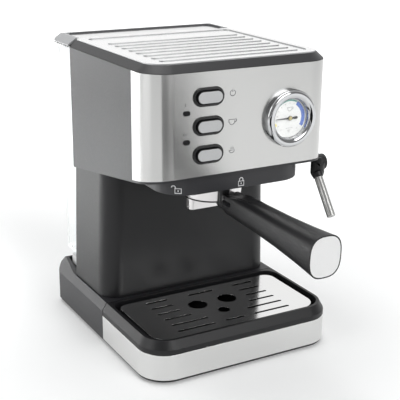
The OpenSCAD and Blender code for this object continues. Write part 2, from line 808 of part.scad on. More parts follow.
module pump() color("#c8b46a") translate([-pump_left, pump_y, pump_z]) difference() {
    union() {
        cylinder(r = hose_r + 3, h = pump_inlet);
        translate([-pump_w / 2, -pump_w / 2, pump_inlet]) cube([pump_w, pump_w, pump_body]);
        translate([0, 0, pump_inlet + pump_body]) cylinder(r = hose_r + 7, h = pump_cap);
        translate([0, 0, pump_h - 10]) cylinder(r = hose_r + 2, h = 10);
    }
    translate([0, 0, -1]) cylinder(r = hose_r, h = 9);
    translate([0, 0, pump_h - 8]) cylinder(r = hose_r, h = 9);
}

// Rubber cradle that carries the pump on the base's deck
module pump_mounts() color("#2a2a2c") for (s = [-1, 1])
    translate([-pump_left + s * 14, pump_y, base_h]) {
        cylinder(r = 4.5, h = pump_z + pump_inlet - base_h);
        cylinder(r = 7, h = 3);
    }

module water_hoses() color("#d9d4c4") translate([-pump_left, 0, 0]) {
    // tank seat down, forwards under the deck, and up to the pump
    translate([0, valve_y, hose_low_z + bend_r])
        tube(hose_r, hose_bore, seat_nipple_z - hose_low_z - bend_r);
    translate([0, valve_y - bend_r, hose_low_z + bend_r]) mirror([0, 0, 1])
        bend(bend_r, hose_r, hose_bore);
    translate([0, pump_y + bend_r, hose_low_z]) rotate([-90, 0, 0])
        tube(hose_r, hose_bore, valve_y - pump_y - 2 * bend_r);
    translate([0, pump_y + bend_r, hose_low_z + bend_r]) rotate([180, 0, 0])
        bend(bend_r, hose_r, hose_bore);
    translate([0, pump_y, hose_low_z + bend_r])
        tube(hose_r, hose_bore, pump_z + 8 - hose_low_z - bend_r);
    // pump up and forwards to the boiler
    translate([0, pump_y, pump_z + pump_h - 8])
        tube(hose_r, hose_bore, hose_high_z - bend_r - pump_z - pump_h + 8);
    translate([0, pump_y - bend_r, hose_high_z - bend_r]) bend(bend_r, hose_r, hose_bore);
    translate([0, pump_y - bend_r, hose_high_z]) rotate([90, 0, 0])
        tube(hose_r, hose_bore, pump_y - bend_r - port_y);
}

stem_r = 3;
valve_x = 60;
outlet_x = 80;
wall_x = head_hw - steel_t - shell_t;
pipe_r = 2.5;
pipe_bore = 1.5;
steam_out_x = 22;
pipe_top_z = boiler_top + 10;
pipe_run_z = head_low + 14;
pipe_bend = 8;

// Brass needle valve that the steam knob's stem turns in
module steam_valve() color("#b08d3c") difference() {
    union() {
        rod_x(-knob_front, panel_mid, valve_x - 8, wall_x - 2, 8);
        rod_x(-knob_front, panel_mid, wall_x - 2, wall_x, 11);
        translate([valve_x, -knob_front, panel_mid]) cylinder(r = 5, h = 14);
        translate([outlet_x, -knob_front, panel_mid - 14]) cylinder(r = 5, h = 14);
    }
    rod_x(-knob_front, panel_mid, valve_x - 4, head_hw, stem_r + fit);
    translate([valve_x, -knob_front, panel_mid + 9]) cylinder(r = pipe_r, h = 6);
    translate([outlet_x, -knob_front, panel_mid - 15]) cylinder(r = pipe_r, h = 6);
}

// Steam pipes: from the boiler's top to the valve, and from the valve to the wand's lug
module steam_pipe() color("#c98e5a") {
    translate([steam_out_x, -knob_front, 0]) rotate([0, 0, -90]) {
        run = valve_x - steam_out_x;
        translate([0, 0, boiler_top - 8])
            tube(pipe_r, pipe_bore, pipe_top_z - pipe_bend - boiler_top + 8);
        translate([0, pipe_bend, pipe_top_z - pipe_bend]) mirror([0, 1, 0])
            bend(pipe_bend, pipe_r, pipe_bore);
        translate([0, pipe_bend, pipe_top_z]) rotate([-90, 0, 0])
            tube(pipe_r, pipe_bore, run - 2 * pipe_bend);
        translate([0, run - pipe_bend, pipe_top_z - pipe_bend])
            bend(pipe_bend, pipe_r, pipe_bore);
        translate([0, run, panel_mid + 9])
            tube(pipe_r, pipe_bore, pipe_top_z - pipe_bend - panel_mid - 9);
    }
    dx = spigot_x - outlet_x;
    dy = -knob_front - wand_y;
    run = sqrt(dx * dx + dy * dy);
    translate([outlet_x, -knob_front, 0]) rotate([0, 0, 180 + atan2(dx, dy)]) {
        translate([0, 0, pipe_run_z + pipe_bend])
            tube(pipe_r, pipe_bore, panel_mid - 9 - pipe_run_z - pipe_bend);
        translate([0, pipe_bend, pipe_run_z + pipe_bend]) rotate([180, 0, 0])
            bend(pipe_bend, pipe_r, pipe_bore);
        translate([0, pipe_bend, pipe_run_z]) rotate([-90, 0, 0])
            tube(pipe_r, pipe_bore, run - 2 * pipe_bend);
        translate([0, run - pipe_bend, pipe_run_z - pipe_bend])
            bend(pipe_bend, pipe_r, pipe_bore);
    }
}

// ---------- controls ----------

lens_left = 60.1;
lens_w = 7;
lens_h = 4.5;
case_r = 24;
function lens_z(i) = panel_mid + button_pitch * (0.5 - i);

module button_bezels() color("#2b2b2d") for (i = [-1:1]) difference() {
    z = panel_mid + i * button_pitch;
    union() {
        on_front(-button_left, z, head_y - 1.4, head_y) pill(bezel_w, bezel_h);
        on_front(-button_left, z, head_y, head_y + 8) pill(bezel_w - 3, bezel_h - 3);
    }
    on_front(-button_left, z, head_y - 2, head_y + 9)
        pill(bezel_w - 2 * bezel_border, bezel_h - 2 * bezel_border);
}

button_w = bezel_w - 2 * bezel_border - 2 * button_gap;
button_h = bezel_h - 2 * bezel_border - 2 * button_gap;
cap_t = 1.2;
button_y0 = head_y - 1.4 - button_reach;
board_y = head_y + 24;
switch_y = head_y + 13;

// Black button body, i steps of the pitch above the middle one
module button(i) {
    z = panel_mid + i * button_pitch;
    on_front(-button_left, z, button_y0 + cap_t, switch_y - button_travel - air)
        pill(button_w, button_h);
}

// Silver cap on the face of a button
module button_cap(i) {
    on_front(-button_left, panel_mid + i * button_pitch, button_y0, button_y0 + cap_t)
        pill(button_w - 0.8, button_h - 0.8);
}

module power_button() color("#303033") button(1);
module brew_button() color("#303033") button(0);
module steam_button() color("#303033") button(-1);
module power_button_cap() color("#c4c5c7") button_cap(1);
module brew_button_cap() color("#c4c5c7") button_cap(0);
module steam_button_cap() color("#c4c5c7") button_cap(-1);

module switch_blocks() color("#d8d8d4") for (i = [-1:1])
    on_front(-button_left, panel_mid + i * button_pitch, switch_y, board_y)
        square([14, 12], center = true);

module control_board() color("#2f6b45") difference() {
    x = -button_left - 9.5;
    w = bezel_w + 6;
    h = round(0.87 * head_h);
    on_front(x, panel_mid, board_y, board_y + 1.6) square([w, h], center = true);
    for (dx = [-1, 1], dz = [-1, 1])
        rod_y(x + dx * (w / 2 - 3.5), panel_mid + dz * (h / 2 - 4), board_y - 1, board_y + 3, 1.6);
}

module indicator_lenses() color("#39393c") for (i = [0, 1]) {
    on_front(-lens_left, lens_z(i), head_y - 0.5, head_y + 4) pill(lens_w, lens_h);
    rod_y(-lens_left, lens_z(i), head_y + 4, board_y, 1.8);
}

glass_y = head_y - 4.2;
glass_t = 1;
dial_y = head_y - 0.6;

module gauge_bezel() color("#dcdde0") translate([gauge_right, head_y, gauge_z])
    rotate([90, 0, 0]) rotate_extrude()
        polygon([[dial_r + 0.6, 0], [gauge_r, 0], [gauge_r, gauge_reach - 2.5],
                 [gauge_r - 0.7, gauge_reach - 0.9], [gauge_r - 2.2, gauge_reach],
                 [gauge_r - 3.6, gauge_reach - 0.3], [dial_r + 0.6, 4.4]]);

module gauge_glass() color("#eef4f6", 0.3)
    rod_y(gauge_right, gauge_z, glass_y, glass_y + glass_t, dial_r + 0.6);

module gauge_dial() color("#f7f7f5") difference() {
    rod_y(gauge_right, gauge_z, dial_y, dial_y + 0.8, dial_r + 0.5);
    rod_y(gauge_right, gauge_z, dial_y - 1, dial_y + 2, needle_r + fit);
}

module gauge_case() color("#2a2a2c") difference() {
    rod_y(gauge_right, gauge_z, dial_y + 0.8, head_y + 20, case_r);
    rod_y(gauge_right, gauge_z, dial_y + 3, head_y + 18, case_r - 2);
    rod_y(gauge_right, gauge_z, dial_y, dial_y + 4, needle_r + fit);
}

needle_r = 0.9;

// Pointer at its cold end, towards the left, on its spindle
module gauge_needle() color("#2c2c2e") {
    z = gauge_z;
    tip = dial_r - 2.5;
    rod_y(gauge_right, z, dial_y - 1.2, dial_y + 6, needle_r);
    rod_y(gauge_right, z, dial_y - 1.9, dial_y - 1.2, 2.2);
    on_front(gauge_right, z, dial_y - 1.8, dial_y - 1.3)
        polygon([[-tip, 0.25], [-tip, -0.25], [0, -0.7], [5, -0.9], [5, 0.9], [0, 0.7]]);
    on_front(gauge_right + 6, z, dial_y - 1.8, dial_y - 1.3) pill(4.6, 2.4);
}

// Knob with a grip bar and the stem that turns in the valve
module steam_knob() color("#343437") {
    x = head_hw + air + 0.3;
    difference() {
        union() {
            rod_x(-knob_front, panel_mid, x, x + 5, knob_r);
            translate([x + 5, -knob_front, panel_mid]) rotate([0, 90, 0])
                cylinder(r1 = knob_r, r2 = knob_r - 2, h = 2);
            intersection() {
                translate([x, -knob_front - knob_r, panel_mid - 5.5])
                    cube([knob_d, 2 * knob_r, 11]);
                rod_x(-knob_front, panel_mid, x, x + knob_d, knob_r - 1);
            }
        }
        translate([x + knob_d - 0.6, -knob_front + 5, panel_mid - 0.7])
            cube([1, knob_r - 8, 1.4]);
    }
    rod_x(-knob_front, panel_mid, valve_x - 2, x + 1, stem_r);
}

// ---------- steam wand ----------

wand_y = head_y + 18.2;
spigot_x = wand_x - 8;
spigot_r = 2.9;
lug_x0 = wand_x - 1.5;
lug_x1 = wand_x + 0.5;
lug_r = 5;
neck_hw = 2.2;
pin_r = 2.2;
knuckle_x = head_hw + 0.3;
barrel_x0 = lug_x0 - air - 0.9;
barrel_x1 = head_hw + 1;
tab_x1 = head_hw + 8.8;
socket_t = 2;

// Block let into the head's floor that carries the wand's lug
module socket_block() {
    intersection() {
        translate([spigot_x - 5, wand_y - 6, 0]) cube([20, 12, head_top]);
        linear_extrude(head_top) head_plan(0);
        above_slope(0);
        below_slope(socket_t);
    }
}

// Fixed lug under the head, with the spigot that takes the steam pipe
module steam_socket() color("#29292b") difference() {
    union() {
        socket_block();
        rod_x(wand_y, wand_z, lug_x0, lug_x1, lug_r);
        intersection() {
            translate([lug_x0, wand_y - neck_hw, wand_z])
                cube([lug_x1 - lug_x0, 2 * neck_hw, head_low - wand_z]);
            below_slope(0.1);
        }
        difference() {
            intersection() {
                translate([knuckle_x, wand_y, wand_z])
                    cylinder(r = knuckle_r, h = head_low - wand_z);
                translate([0, wand_y - knuckle_r, wand_z])
                    cube([barrel_x1 - air, 2 * knuckle_r, big]);
                below_slope(0.1);
            }
            rod_x(wand_y, wand_z, 0, big, knuckle_r + air + 0.4);
        }
        intersection() {
            above_slope(0);
            translate([spigot_x, wand_y, 0]) cylinder(r = spigot_r, h = pipe_run_z - pipe_bend);
        }
    }
    translate([spigot_x, wand_y, wand_z]) cylinder(r = 1.2, h = big);
    rod_x(wand_y, wand_z, lug_x0 - 1, lug_x1 + 1, pin_r + fit);
}

// Frame along the wand: its own -Z runs down the tube
module wand_frame() {
    translate([wand_x, wand_y + 1, wand_z - 0.3]) rotate([-wand_tilt, 0, 0]) children();
}

// Upright lower part of the knuckle with its round end
module knuckle_foot() {
    translate([knuckle_x, wand_y, wand_z + knuckle_r - knuckle_len]) {
        cylinder(r = knuckle_r - 0.05, h = knuckle_len - knuckle_r);
        sphere(r = knuckle_r - 0.05);
    }
}

// Forked knuckle with its pin and thumb tab, which grips the tube's upper end
module wand_knuckle() color("#29292b") {
    difference() {
        union() {
            intersection() {
                rod_x(wand_y, wand_z, 0, big, knuckle_r);
                translate([knuckle_x, wand_y, wand_z - 1]) cylinder(r = knuckle_r - 0.05, h = 20);
            }
            rod_x(wand_y + 3.5, wand_z + 2.8, barrel_x1, tab_x1, tab_r);
            knuckle_foot();
        }
        rod_x(wand_y, wand_z, lug_x0 - air, lug_x1 + air, lug_r + 0.5);
        translate([lug_x0 - air, wand_y - 20, wand_z + 2])
            cube([lug_x1 - lug_x0 + 2 * air, 40, 20]);
        wand_frame() translate([0, 0, -wand_len]) cylinder(r = wand_r - 1, h = wand_len - 7.5);
    }
    rod_x(wand_y, wand_z, barrel_x0 + 0.2, barrel_x1, pin_r);
}

// Steel tube, with the wider sleeve over it that meets the knuckle's round end
module wand_tube() color("#d6d7d9") difference() {
    union() {
        wand_frame() translate([0, 0, 4 - wand_len]) cylinder(r = wand_r - 1, h = wand_len - 11.5);
        difference() {
            wand_frame() {
                translate([0, 0, 0.6 - wand_len]) cylinder(r = wand_r, h = wand_len - 7.6);
                translate([0, 0, -wand_len]) cylinder(r1 = wand_r - 0.6, r2 = wand_r, h = 0.6);
            }
            knuckle_foot();
        }
    }
    wand_frame() translate([0, 0, -wand_len - 1]) cylinder(r = 1.1, h = wand_len - 8);
}

// ---------- water tank ----------

seat_neck_r = 8;
seat_r = 0.4 * (pocket_y1 - pocket_y0);
seat_nipple_z = base_h - 8;
seat_top = base_h + 2;
foot_z = seat_top + tray_gap;
tank_z = base_h + tank_lift;
tank_hw = column_hw - tank_inset;
tank_y1 = wall_y + tank_d;
tank_top = head_top - tray_gap;
foot_hw = pocket_hw - 2;
foot_y0 = pocket_y0 + 1;
foot_y1 = pocket_y1 - 1;
foot_top = tank_z - 9;
outlet_r = 6;

// Seat on the base's deck with the nipple that feeds the hose
module tank_seat() color("#4c4c50") translate([-pump_left, valve_y, 0]) difference() {
    union() {
        translate([0, 0, base_h]) cylinder(r = seat_r, h = seat_top - base_h);
        translate([0, 0, seat_nipple_z + 2]) cylinder(r = seat_neck_r, h = base_h - seat_nipple_z);
        translate([0, 0, base_h]) cylinder(r = 4.4, h = 7);
    }
    translate([0, 0, seat_nipple_z - 1]) cylinder(r = hose_bore, h = 30);
}

module seat_seal() color("#9a3b2e") translate([-pump_left, valve_y, seat_top + 1.2])
    tube(5.4, 4.4, 2.2);

module tank_shell() color("#dfe9ee", 0.35) difference() {
    union() {
        intersection() {
            leaning_sides(tank_hw, tank_z, tank_top, tank_lean)
                outline(tank_hw, wall_y, tank_y1, 5, tank_r);
            translate([-big / 2, 0, tank_z]) cube([big, big, tank_top - tank_z]);
        }
        translate([0, 0, foot_top]) linear_extrude(tank_z - foot_top)
            outline(foot_hw - 1, foot_y0 + 1, foot_y1 - 0.5, 5, 6);
        for (x = [-1, 1]) hinge_lug(x);
    }
    intersection() {
        leaning_sides(tank_hw - tank_wall, tank_z, tank_top, tank_lean)
            outline(tank_hw - tank_wall, wall_y + tank_wall, tank_y1 - tank_wall,
                    5 - tank_wall, tank_r - tank_wall);
        translate([-big / 2, 0, tank_z + tank_wall]) cube([big, big, big]);
    }
    translate([0, 0, foot_top + tank_wall]) linear_extrude(tank_z - foot_top)
        outline(foot_hw - 1 - tank_wall, foot_y0 + 1 + tank_wall, foot_y1 - 0.5 - tank_wall,
                5 - tank_wall, 6 - tank_wall);
    translate([-pump_left, valve_y, 0]) cylinder(r = outlet_r, h = tank_z + 2);
    rod_x(hinge_y, hinge_z, -hinge_x - 20, hinge_x + 20, hinge_pin_r + fit);
}

hinge_x = 60;
hinge_w = 8;
hinge_pin_r = 1;
hinge_ear_r = 2.2;
hinge_y = tank_y1 + 2.4;
hinge_z = tank_top - 2.2;

// Lug on the tank's back that one of the lid's hinge pins turns in
module hinge_lug(side) {
    for (dx = [-1, 1]) translate([side * hinge_x + dx * hinge_w - hinge_w / 2, 0, 0]) {
        rod_x(hinge_y, hinge_z, 0, hinge_w, hinge_ear_r);
        translate([0, tank_y1 - 1, hinge_z - hinge_ear_r])
            cube([hinge_w, hinge_y - tank_y1 + 1, 2 * hinge_ear_r - 1.5]);
    }
}

module tank_foot() color("#c3c4c6") difference() {
    translate([0, 0, foot_z]) linear_extrude(foot_top - foot_z)
        outline(foot_hw, foot_y0, foot_y1, 5, 6);
    translate([0, 0, foot_z - 1]) linear_extrude(foot_top - foot_z - 2)
        outline(foot_hw - 2.5, foot_y0 + 2.5, foot_y1 - 2.5, 2.5, 3.5);
    translate([-pump_left, valve_y, 0]) cylinder(r = outlet_r + 3, h = tank_z);
}

// Check valve in the tank's outlet
module tank_outlet() color("#e8e6df") translate([-pump_left, valve_y, 0]) difference() {
    union() {
        translate([0, 0, seat_top + 6]) cylinder(r = outlet_r + 3, h = foot_top - seat_top - 6);
        translate([0, 0, foot_top]) cylinder(r = outlet_r, h = tank_wall + 6);
    }
    translate([0, 0, seat_top]) cylinder(r = 5.4 + tray_gap, h = 9);
    for (a = [0:60:300]) rotate([0, 0, a]) translate([3.6, 0, 0]) cylinder(r = 1, h = big / 4);
}

lid_hw = head_hw + lid_over;
lid_y0 = head_back + 0.6;
lid_y1 = hinge_y - 0.4;
lid_edge = 1.9;

module tank_lid() color("#b9babc") {
    difference() {
        intersection() {
            translate([0, 0, head_top]) linear_extrude(rim_h)
                mirror([0, 1]) open_outline(lid_hw, -lid_y1, -lid_y0, 5);
            along_y(lid_y0 - 1, lid_y1 + 1)
                polygon([[-lid_hw, head_top], [lid_hw, head_top], [lid_hw, head_top + lid_edge],
                         [lid_hw - rim_in - 0.8, rim_z], [rim_in + 0.8 - lid_hw, rim_z],
                         [-lid_hw, head_top + lid_edge]]);
        }
        translate([0, 0, rim_z - lid_recess]) linear_extrude(lid_recess + 1)
            outline(lid_hw - rim_in - 4, lid_y0 - 6, lid_y1 - 3, 2, 5);
    }
    // skirt inside the tank's mouth
    difference() {
        translate([0, 0, head_top - 4]) linear_extrude(4)
            outline(tank_hw + tank_lean - tank_wall - 2.4, wall_y + tank_wall + 1,
                    tank_y1 - tank_wall - 2.5, 3, 6);
        translate([0, 0, head_top - 5]) linear_extrude(5)
            outline(tank_hw + tank_lean - tank_wall - 4.4, wall_y + tank_wall + 3,
                    tank_y1 - tank_wall - 4.5, 1, 4);
    }
    for (side = [-1, 1]) {
        x = side * hinge_x;
        half = hinge_w / 2 - air;
        rod_x(hinge_y, hinge_z, x - half, x + half, hinge_ear_r);
        translate([x - half, hinge_y - 1.2, hinge_z]) cube([2 * half, 2, head_top - hinge_z]);
        rod_x(hinge_y, hinge_z, x - hinge_w * 1.3, x + hinge_w * 1.3, hinge_pin_r);
    }
}

// ---------- filter holder ----------

axis_z = 158;
boss_y = group_y - bowl_foot_r;
grip_y = boss_y - 6;
basket_r = bowl_foot_r - bowl_wall - 0.6;
basket_low = bowl_low + 9;

// Height of the bowl's outer radius at its floor
bowl_mouth_z = shroud_low + 1;

module filter_bowl() color("#e2e3e4") {
    translate([0, group_y, 0]) difference() {
        union() {
            translate([0, 0, bowl_low])
                cylinder(r1 = bowl_foot_r, r2 = bowl_r, h = bowl_mouth_z - bowl_low);
            translate([0, 0, bowl_mouth_z]) cylinder(r = bowl_r, h = bowl_top - bowl_mouth_z);
            for (a = [0:120:240]) rotate([0, 0, a + ear_from]) translate([0, 0, ear_z0])
                rotate_extrude(angle = ear_span) translate([bowl_r - 2, 0])
                    square([2 + ear_reach, ear_z1 - ear_z0]);
            rotate([90, 0, 0]) translate([0, axis_z, bowl_foot_r - 4]) cylinder(r = 8.5, h = 10);
        }
        translate([0, 0, bowl_low + 2.5])
            cylinder(r1 = bowl_foot_r - bowl_wall, r2 = bowl_r - bowl_wall,
                     h = bowl_top - bowl_low - 2.5 + 0.01);
        for (x = [-1, 1]) translate([x * 10, 0, bowl_low - 1]) cylinder(r = 2.5, h = 8);
    }
    rod_y(0, axis_z, grip_y - 40, grip_y + 3, 4);
}

module filter_basket() color("#cfd0d2") translate([0, group_y, 0]) difference() {
    rim_z1 = bowl_top + basket_lip;
    union() {
        translate([0, 0, bowl_top]) cylinder(r = bowl_r - 0.4, h = basket_lip);
        translate([0, 0, basket_low])
            cylinder(r1 = basket_r - 1, r2 = basket_r + 1.4, h = bowl_top - basket_low);
    }
    translate([0, 0, basket_low + 0.8])
        cylinder(r1 = basket_r - 1.8, r2 = basket_r + 0.6, h = rim_z1 - basket_low - 0.79);
    for (r = [5, 10, 15, 20], a = [0:360 / (r * 0.8):359])
        rotate([0, 0, a]) translate([r, 0, basket_low - 1]) cylinder(r = 0.6, h = 4, $fn = 16);
}

module spout_block() color("#e0e1e2") translate([0, group_y, bowl_low - spout_h]) difference() {
    linear_extrude(spout_h) union() {
        square([spout_w - 8, spout_d], center = true);
        square([spout_w, spout_d - 8], center = true);
        for (x = [-1, 1], y = [-1, 1])
            translate([x * (spout_w / 2 - 4), y * (spout_d / 2 - 4)]) circle(4);
    }
    for (x = [-1, 1]) {
        translate([x * 10, 0, spout_h - 4]) cylinder(r = 2.5, h = 5);
        translate([x * 16, 0, -1]) cylinder(r = 4, h = 6);
        translate([x * 16 - (x > 0 ? 8 : 0), -2, 4]) cube([8, 4, spout_h - 6]);
    }
}

// Rounded-square drawing that the grip's sections follow
module grip_section(w, h) {
    points = [for (i = [0:47]) let (a = i * 7.5, c = cos(a), s = sin(a))
        [sign(c) * pow(abs(c), 0.72) * w / 2, sign(s) * pow(abs(s), 0.72) * h / 2]];
    polygon(points);
}

// Frame along the grip: its own Z runs forwards from the neck
module grip_frame() {
    translate([0, grip_y, axis_z]) rotate([90 + grip_fall, 0, 0]) children();
}

rim_t = 1.1;
cap_plate_t = 2;
grip_h = grip_w * grip_ratio;
neck_h = neck_w * grip_ratio;

// Width of the grip at a share of its length
function grip_at(share) = neck_w + (grip_w - neck_w) * pow(share, 2.4);
stations = [0.04, 0.35, 0.6, 0.8, 0.92, 1];

module handle_grip() color("#3b3b3e") difference() {
    grip_frame() {
        for (i = [0:len(stations) - 2]) hull() {
            for (share = [stations[i], stations[i + 1]])
                translate([0, 0, share * grip_len - 0.5]) linear_extrude(0.5)
                    grip_section(grip_at(share), grip_at(share) * grip_ratio);
        }
        hull() {
            translate([0, 0, -1]) linear_extrude(2) grip_section(neck_w - 3, neck_h - 3);
            translate([0, 0, stations[0] * grip_len - 0.5]) linear_extrude(0.5)
                grip_section(neck_w, neck_h);
        }
    }
    grip_frame() translate([0, 0, grip_len - cap_plate_t]) linear_extrude(cap_plate_t + 1)
        grip_section(grip_w - 2 * rim_t, grip_h - 2 * rim_t);
    translate([-big / 2, grip_y, 0]) cube(big);
    along_x(-grip_w, grip_w)
        polygon(concat(saddle(0), [[grip_y - 70, axis_z + grip_w], [grip_y + 1, axis_z + grip_w]]));
    rod_y(0, axis_z, grip_y - 42, grip_y + 3, 4);
    lever_channel();
}

module handle_cap() color("#e9e9ea") grip_frame()
    translate([0, 0, grip_len - cap_plate_t]) linear_extrude(cap_plate_t)
        grip_section(grip_w - 2 * rim_t - 0.1, grip_h - 2 * rim_t - 0.1);

lever_y = grip_y - 6.5;
lever_low = axis_z + 7;
lever_top = axis_z + 9;
lever_z = lever_low - 1.2;
lever_pin_r = 1.2;
lever_hw = 5.2;
lever_t = 1.8;
lever_reach = 41;

// Flattened top of the neck as (y, z) points, raised by dz
function saddle(dz) = [
    [grip_y + 1, lever_low + dz], [grip_y - 12, lever_low + dz], [grip_y - 24, lever_top + dz],
    [grip_y - 50, lever_top + 1.6 + dz], [grip_y - 70, lever_top + 4 + dz]];

// Channel in the grip's top that the thumb lever lies in
module lever_channel() {
    w = lever_hw + air;
    translate([-w, lever_y - lever_reach - 1, lever_low - lever_t - air])
        cube([2 * w, lever_reach + 8, 20]);
    translate([-w, lever_y - 3.4, lever_z - 1.7]) cube([2 * w, 20, 20]);
    rod_x(lever_y, lever_z, -grip_w, grip_w, lever_pin_r + fit);
}

// Thumb lever that holds the basket in when the holder is knocked out
module retention_lever() color("#2c2c2f") {
    along_x(-lever_hw, lever_hw) {
        translate([lever_y, lever_z]) circle(1.5);
        polygon([[lever_y + 2, lever_z], [lever_y + 2, lever_low + 0.2],
                 [lever_y - 5.5, lever_low + 0.2], [lever_y - 17.5, lever_top + 0.2],
                 [lever_y - lever_reach + 5, lever_top + 1.6],
                 [lever_y - lever_reach, lever_top + 1.2],
                 [lever_y - lever_reach, lever_low - lever_t],
                 [lever_y, lever_low - lever_t], [lever_y, lever_z]]);
    }
    rod_x(lever_y, lever_z, 1 - neck_w / 2, neck_w / 2 - 1, lever_pin_r);
}

rear_base();
base_plate();
rubber_feet();
base_screws();
cord_gland();
column_housing();
back_panel();
head_housing();
steel_front();
top_rim();
cup_plate();
group_shroud();
bayonet_collar();
group_gasket();
shower_plate();
shower_screw();
boiler_lower();
boiler_upper();
boiler_bolts();
heating_element();
thermostats();
pump();
pump_mounts();
water_hoses();
steam_valve();
steam_pipe();
steam_socket();
control_board();
switch_blocks();
button_bezels();
indicator_lenses();
power_button();
brew_button();
steam_button();
power_button_cap();
brew_button_cap();
steam_button_cap();
gauge_case();
gauge_bezel();
gauge_dial();
gauge_glass();
gauge_needle();
tank_seat();
seat_seal();
tank_shell();
tank_foot();
tank_outlet();
tank_lid();
drip_tray();
tray_band();
drip_grille();
steam_knob();
wand_knuckle();
wand_tube();
filter_bowl();
filter_basket();
spout_block();
handle_grip();
handle_cap();
retention_lever();
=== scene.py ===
import json
import math

import bmesh
import bpy
from mathutils import Matrix, Vector


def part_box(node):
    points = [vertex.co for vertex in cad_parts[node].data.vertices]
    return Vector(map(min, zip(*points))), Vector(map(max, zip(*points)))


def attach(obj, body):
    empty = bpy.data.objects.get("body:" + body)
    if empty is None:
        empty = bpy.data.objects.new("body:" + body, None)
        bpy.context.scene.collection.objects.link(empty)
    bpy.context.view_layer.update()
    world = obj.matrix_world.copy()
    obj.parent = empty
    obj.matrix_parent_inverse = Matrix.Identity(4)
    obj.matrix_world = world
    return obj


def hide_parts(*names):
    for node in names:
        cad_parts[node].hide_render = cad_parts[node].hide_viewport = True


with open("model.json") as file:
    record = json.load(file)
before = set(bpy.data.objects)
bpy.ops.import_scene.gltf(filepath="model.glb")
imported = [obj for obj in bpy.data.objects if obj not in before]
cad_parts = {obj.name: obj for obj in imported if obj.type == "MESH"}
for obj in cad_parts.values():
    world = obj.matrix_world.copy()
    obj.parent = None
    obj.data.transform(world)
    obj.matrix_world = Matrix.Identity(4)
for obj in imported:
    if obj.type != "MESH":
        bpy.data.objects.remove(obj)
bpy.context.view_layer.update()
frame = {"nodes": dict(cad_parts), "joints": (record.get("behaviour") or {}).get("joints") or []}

# An espresso machine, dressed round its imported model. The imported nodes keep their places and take
# real finishes; print, rings, seams and other fine parts that the solids leave out are built here.
# Metres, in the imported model's own frame: origin on the counter, -Y to the front, +Z up.

NODES = frame["nodes"]
MM = 0.001

# ---------- Rear base, column and head housing ----------
# Injection-moulded ABS in a very dark grey, spark-eroded to a fine matt grain, which spreads each
# reflection into a soft grey. The base is one moulding with a cradle for the tank's foot, and the
# column and the head's shell are screwed to it from inside.


def linear(code):
    """An sRGB hex colour as the linear RGBA that a shader socket takes."""
    channels = [int(code[i:i + 2], 16) / 255 for i in (1, 3, 5)]
    return [c / 12.92 if c <= 0.04045 else ((c + 0.055) / 1.055) ** 2.4 for c in channels] + [1]


def add(material, kind, inputs=(), **settings):
    """Add a shader node with its settings. An input takes a value or another node's output."""
    node = material.node_tree.nodes.new("ShaderNode" + kind)
    for name, value in settings.items():
        setattr(node, name, value)
    for name, value in dict(inputs).items():
        if isinstance(value, bpy.types.NodeSocket):
            material.node_tree.links.new(value, node.inputs[name])
        else:
            node.inputs[name].default_value = value
    return node


def finish_material(name, surface):
    """A new material whose surface is what the function surface makes of it."""
    material = bpy.data.materials.new(name)
    material.use_nodes = True
    material.node_tree.nodes.clear()
    add(material, "OutputMaterial", {"Surface": surface(material)})
    return material


DRIFT, GRAIN_DEPTH, GLOSS_SPREAD = 55 * MM, 0.05 * MM, 0.04


def moulded(name, tone, worn, roughness, grain=0.9, bump=0.12, ior=1.46):
    """Moulded plastic: two near tones, a spark-eroded grain, and a gloss that drifts a little.

    The real grain is about 0.1 mm; it is drawn at grain mm, the finest that still shows.
    """
    def surface(m):
        place = add(m, "TexCoord").outputs["Object"]
        drift = add(m, "TexNoise", {"Vector": place, "Scale": 1 / DRIFT, "Detail": 2.0})
        pits = add(m, "TexNoise", {"Vector": place, "Scale": 1 / (grain * MM), "Detail": 3.0,
                                   "Roughness": 0.6})
        tint = add(m, "Mix", {0: drift.outputs["Fac"], 6: linear(tone), 7: linear(worn)},
                   data_type="RGBA")
        gloss = add(m, "MapRange", {"Value": pits.outputs["Fac"], "From Min": 0.3, "From Max": 0.7,
                                    "To Min": roughness - GLOSS_SPREAD,
                                    "To Max": roughness + GLOSS_SPREAD})
        relief = add(m, "Bump", {"Height": pits.outputs["Fac"], "Strength": bump,
                                 "Distance": GRAIN_DEPTH})
        return add(m, "BsdfPrincipled", {
            "Base Color": tint.outputs[2], "Roughness": gloss.outputs[0], "IOR": ior,
            "Normal": relief.outputs[0]}).outputs[0]
    return finish_material(name, surface)


WELD_GAP = 0.002 * MM


def weld_faces(name):
    """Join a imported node's loose faces into one smooth-shaded skin."""
    node = NODES[name]
    mesh = node.data
    if "custom_normal" in mesh.attributes:
        mesh.attributes.remove(mesh.attributes["custom_normal"])
    mesh.shade_smooth()
    weld = node.modifiers.new("weld", "WELD")
    weld.merge_threshold = WELD_GAP
    return node


def ease(name, width, segments=2, angle=20):
    """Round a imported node's sharp edges by width mm, as a mould or a press leaves them."""
    node = weld_faces(name)
    flat = node.modifiers.new("flat", "DECIMATE")
    flat.decimate_type = "DISSOLVE"
    flat.angle_limit = math.radians(0.4)
    round_off = node.modifiers.new("round", "BEVEL")
    round_off.width = width * MM
    round_off.segments = segments
    round_off.limit_method = "ANGLE"
    round_off.angle_limit = math.radians(angle)
    round_off.use_clamp_overlap = True
    shade = node.modifiers.new("shade", "WEIGHTED_NORMAL")
    shade.keep_sharp = True


def smooth(name, angle):
    """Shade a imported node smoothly, apart from edges sharper than angle degrees."""
    split = weld_faces(name).modifiers.new("split", "EDGE_SPLIT")
    split.split_angle = math.radians(angle)


def dress(material, *names):
    """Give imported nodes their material."""
    for name in names:
        mesh = NODES[name].data
        mesh.materials.clear()
        mesh.materials.append(material)


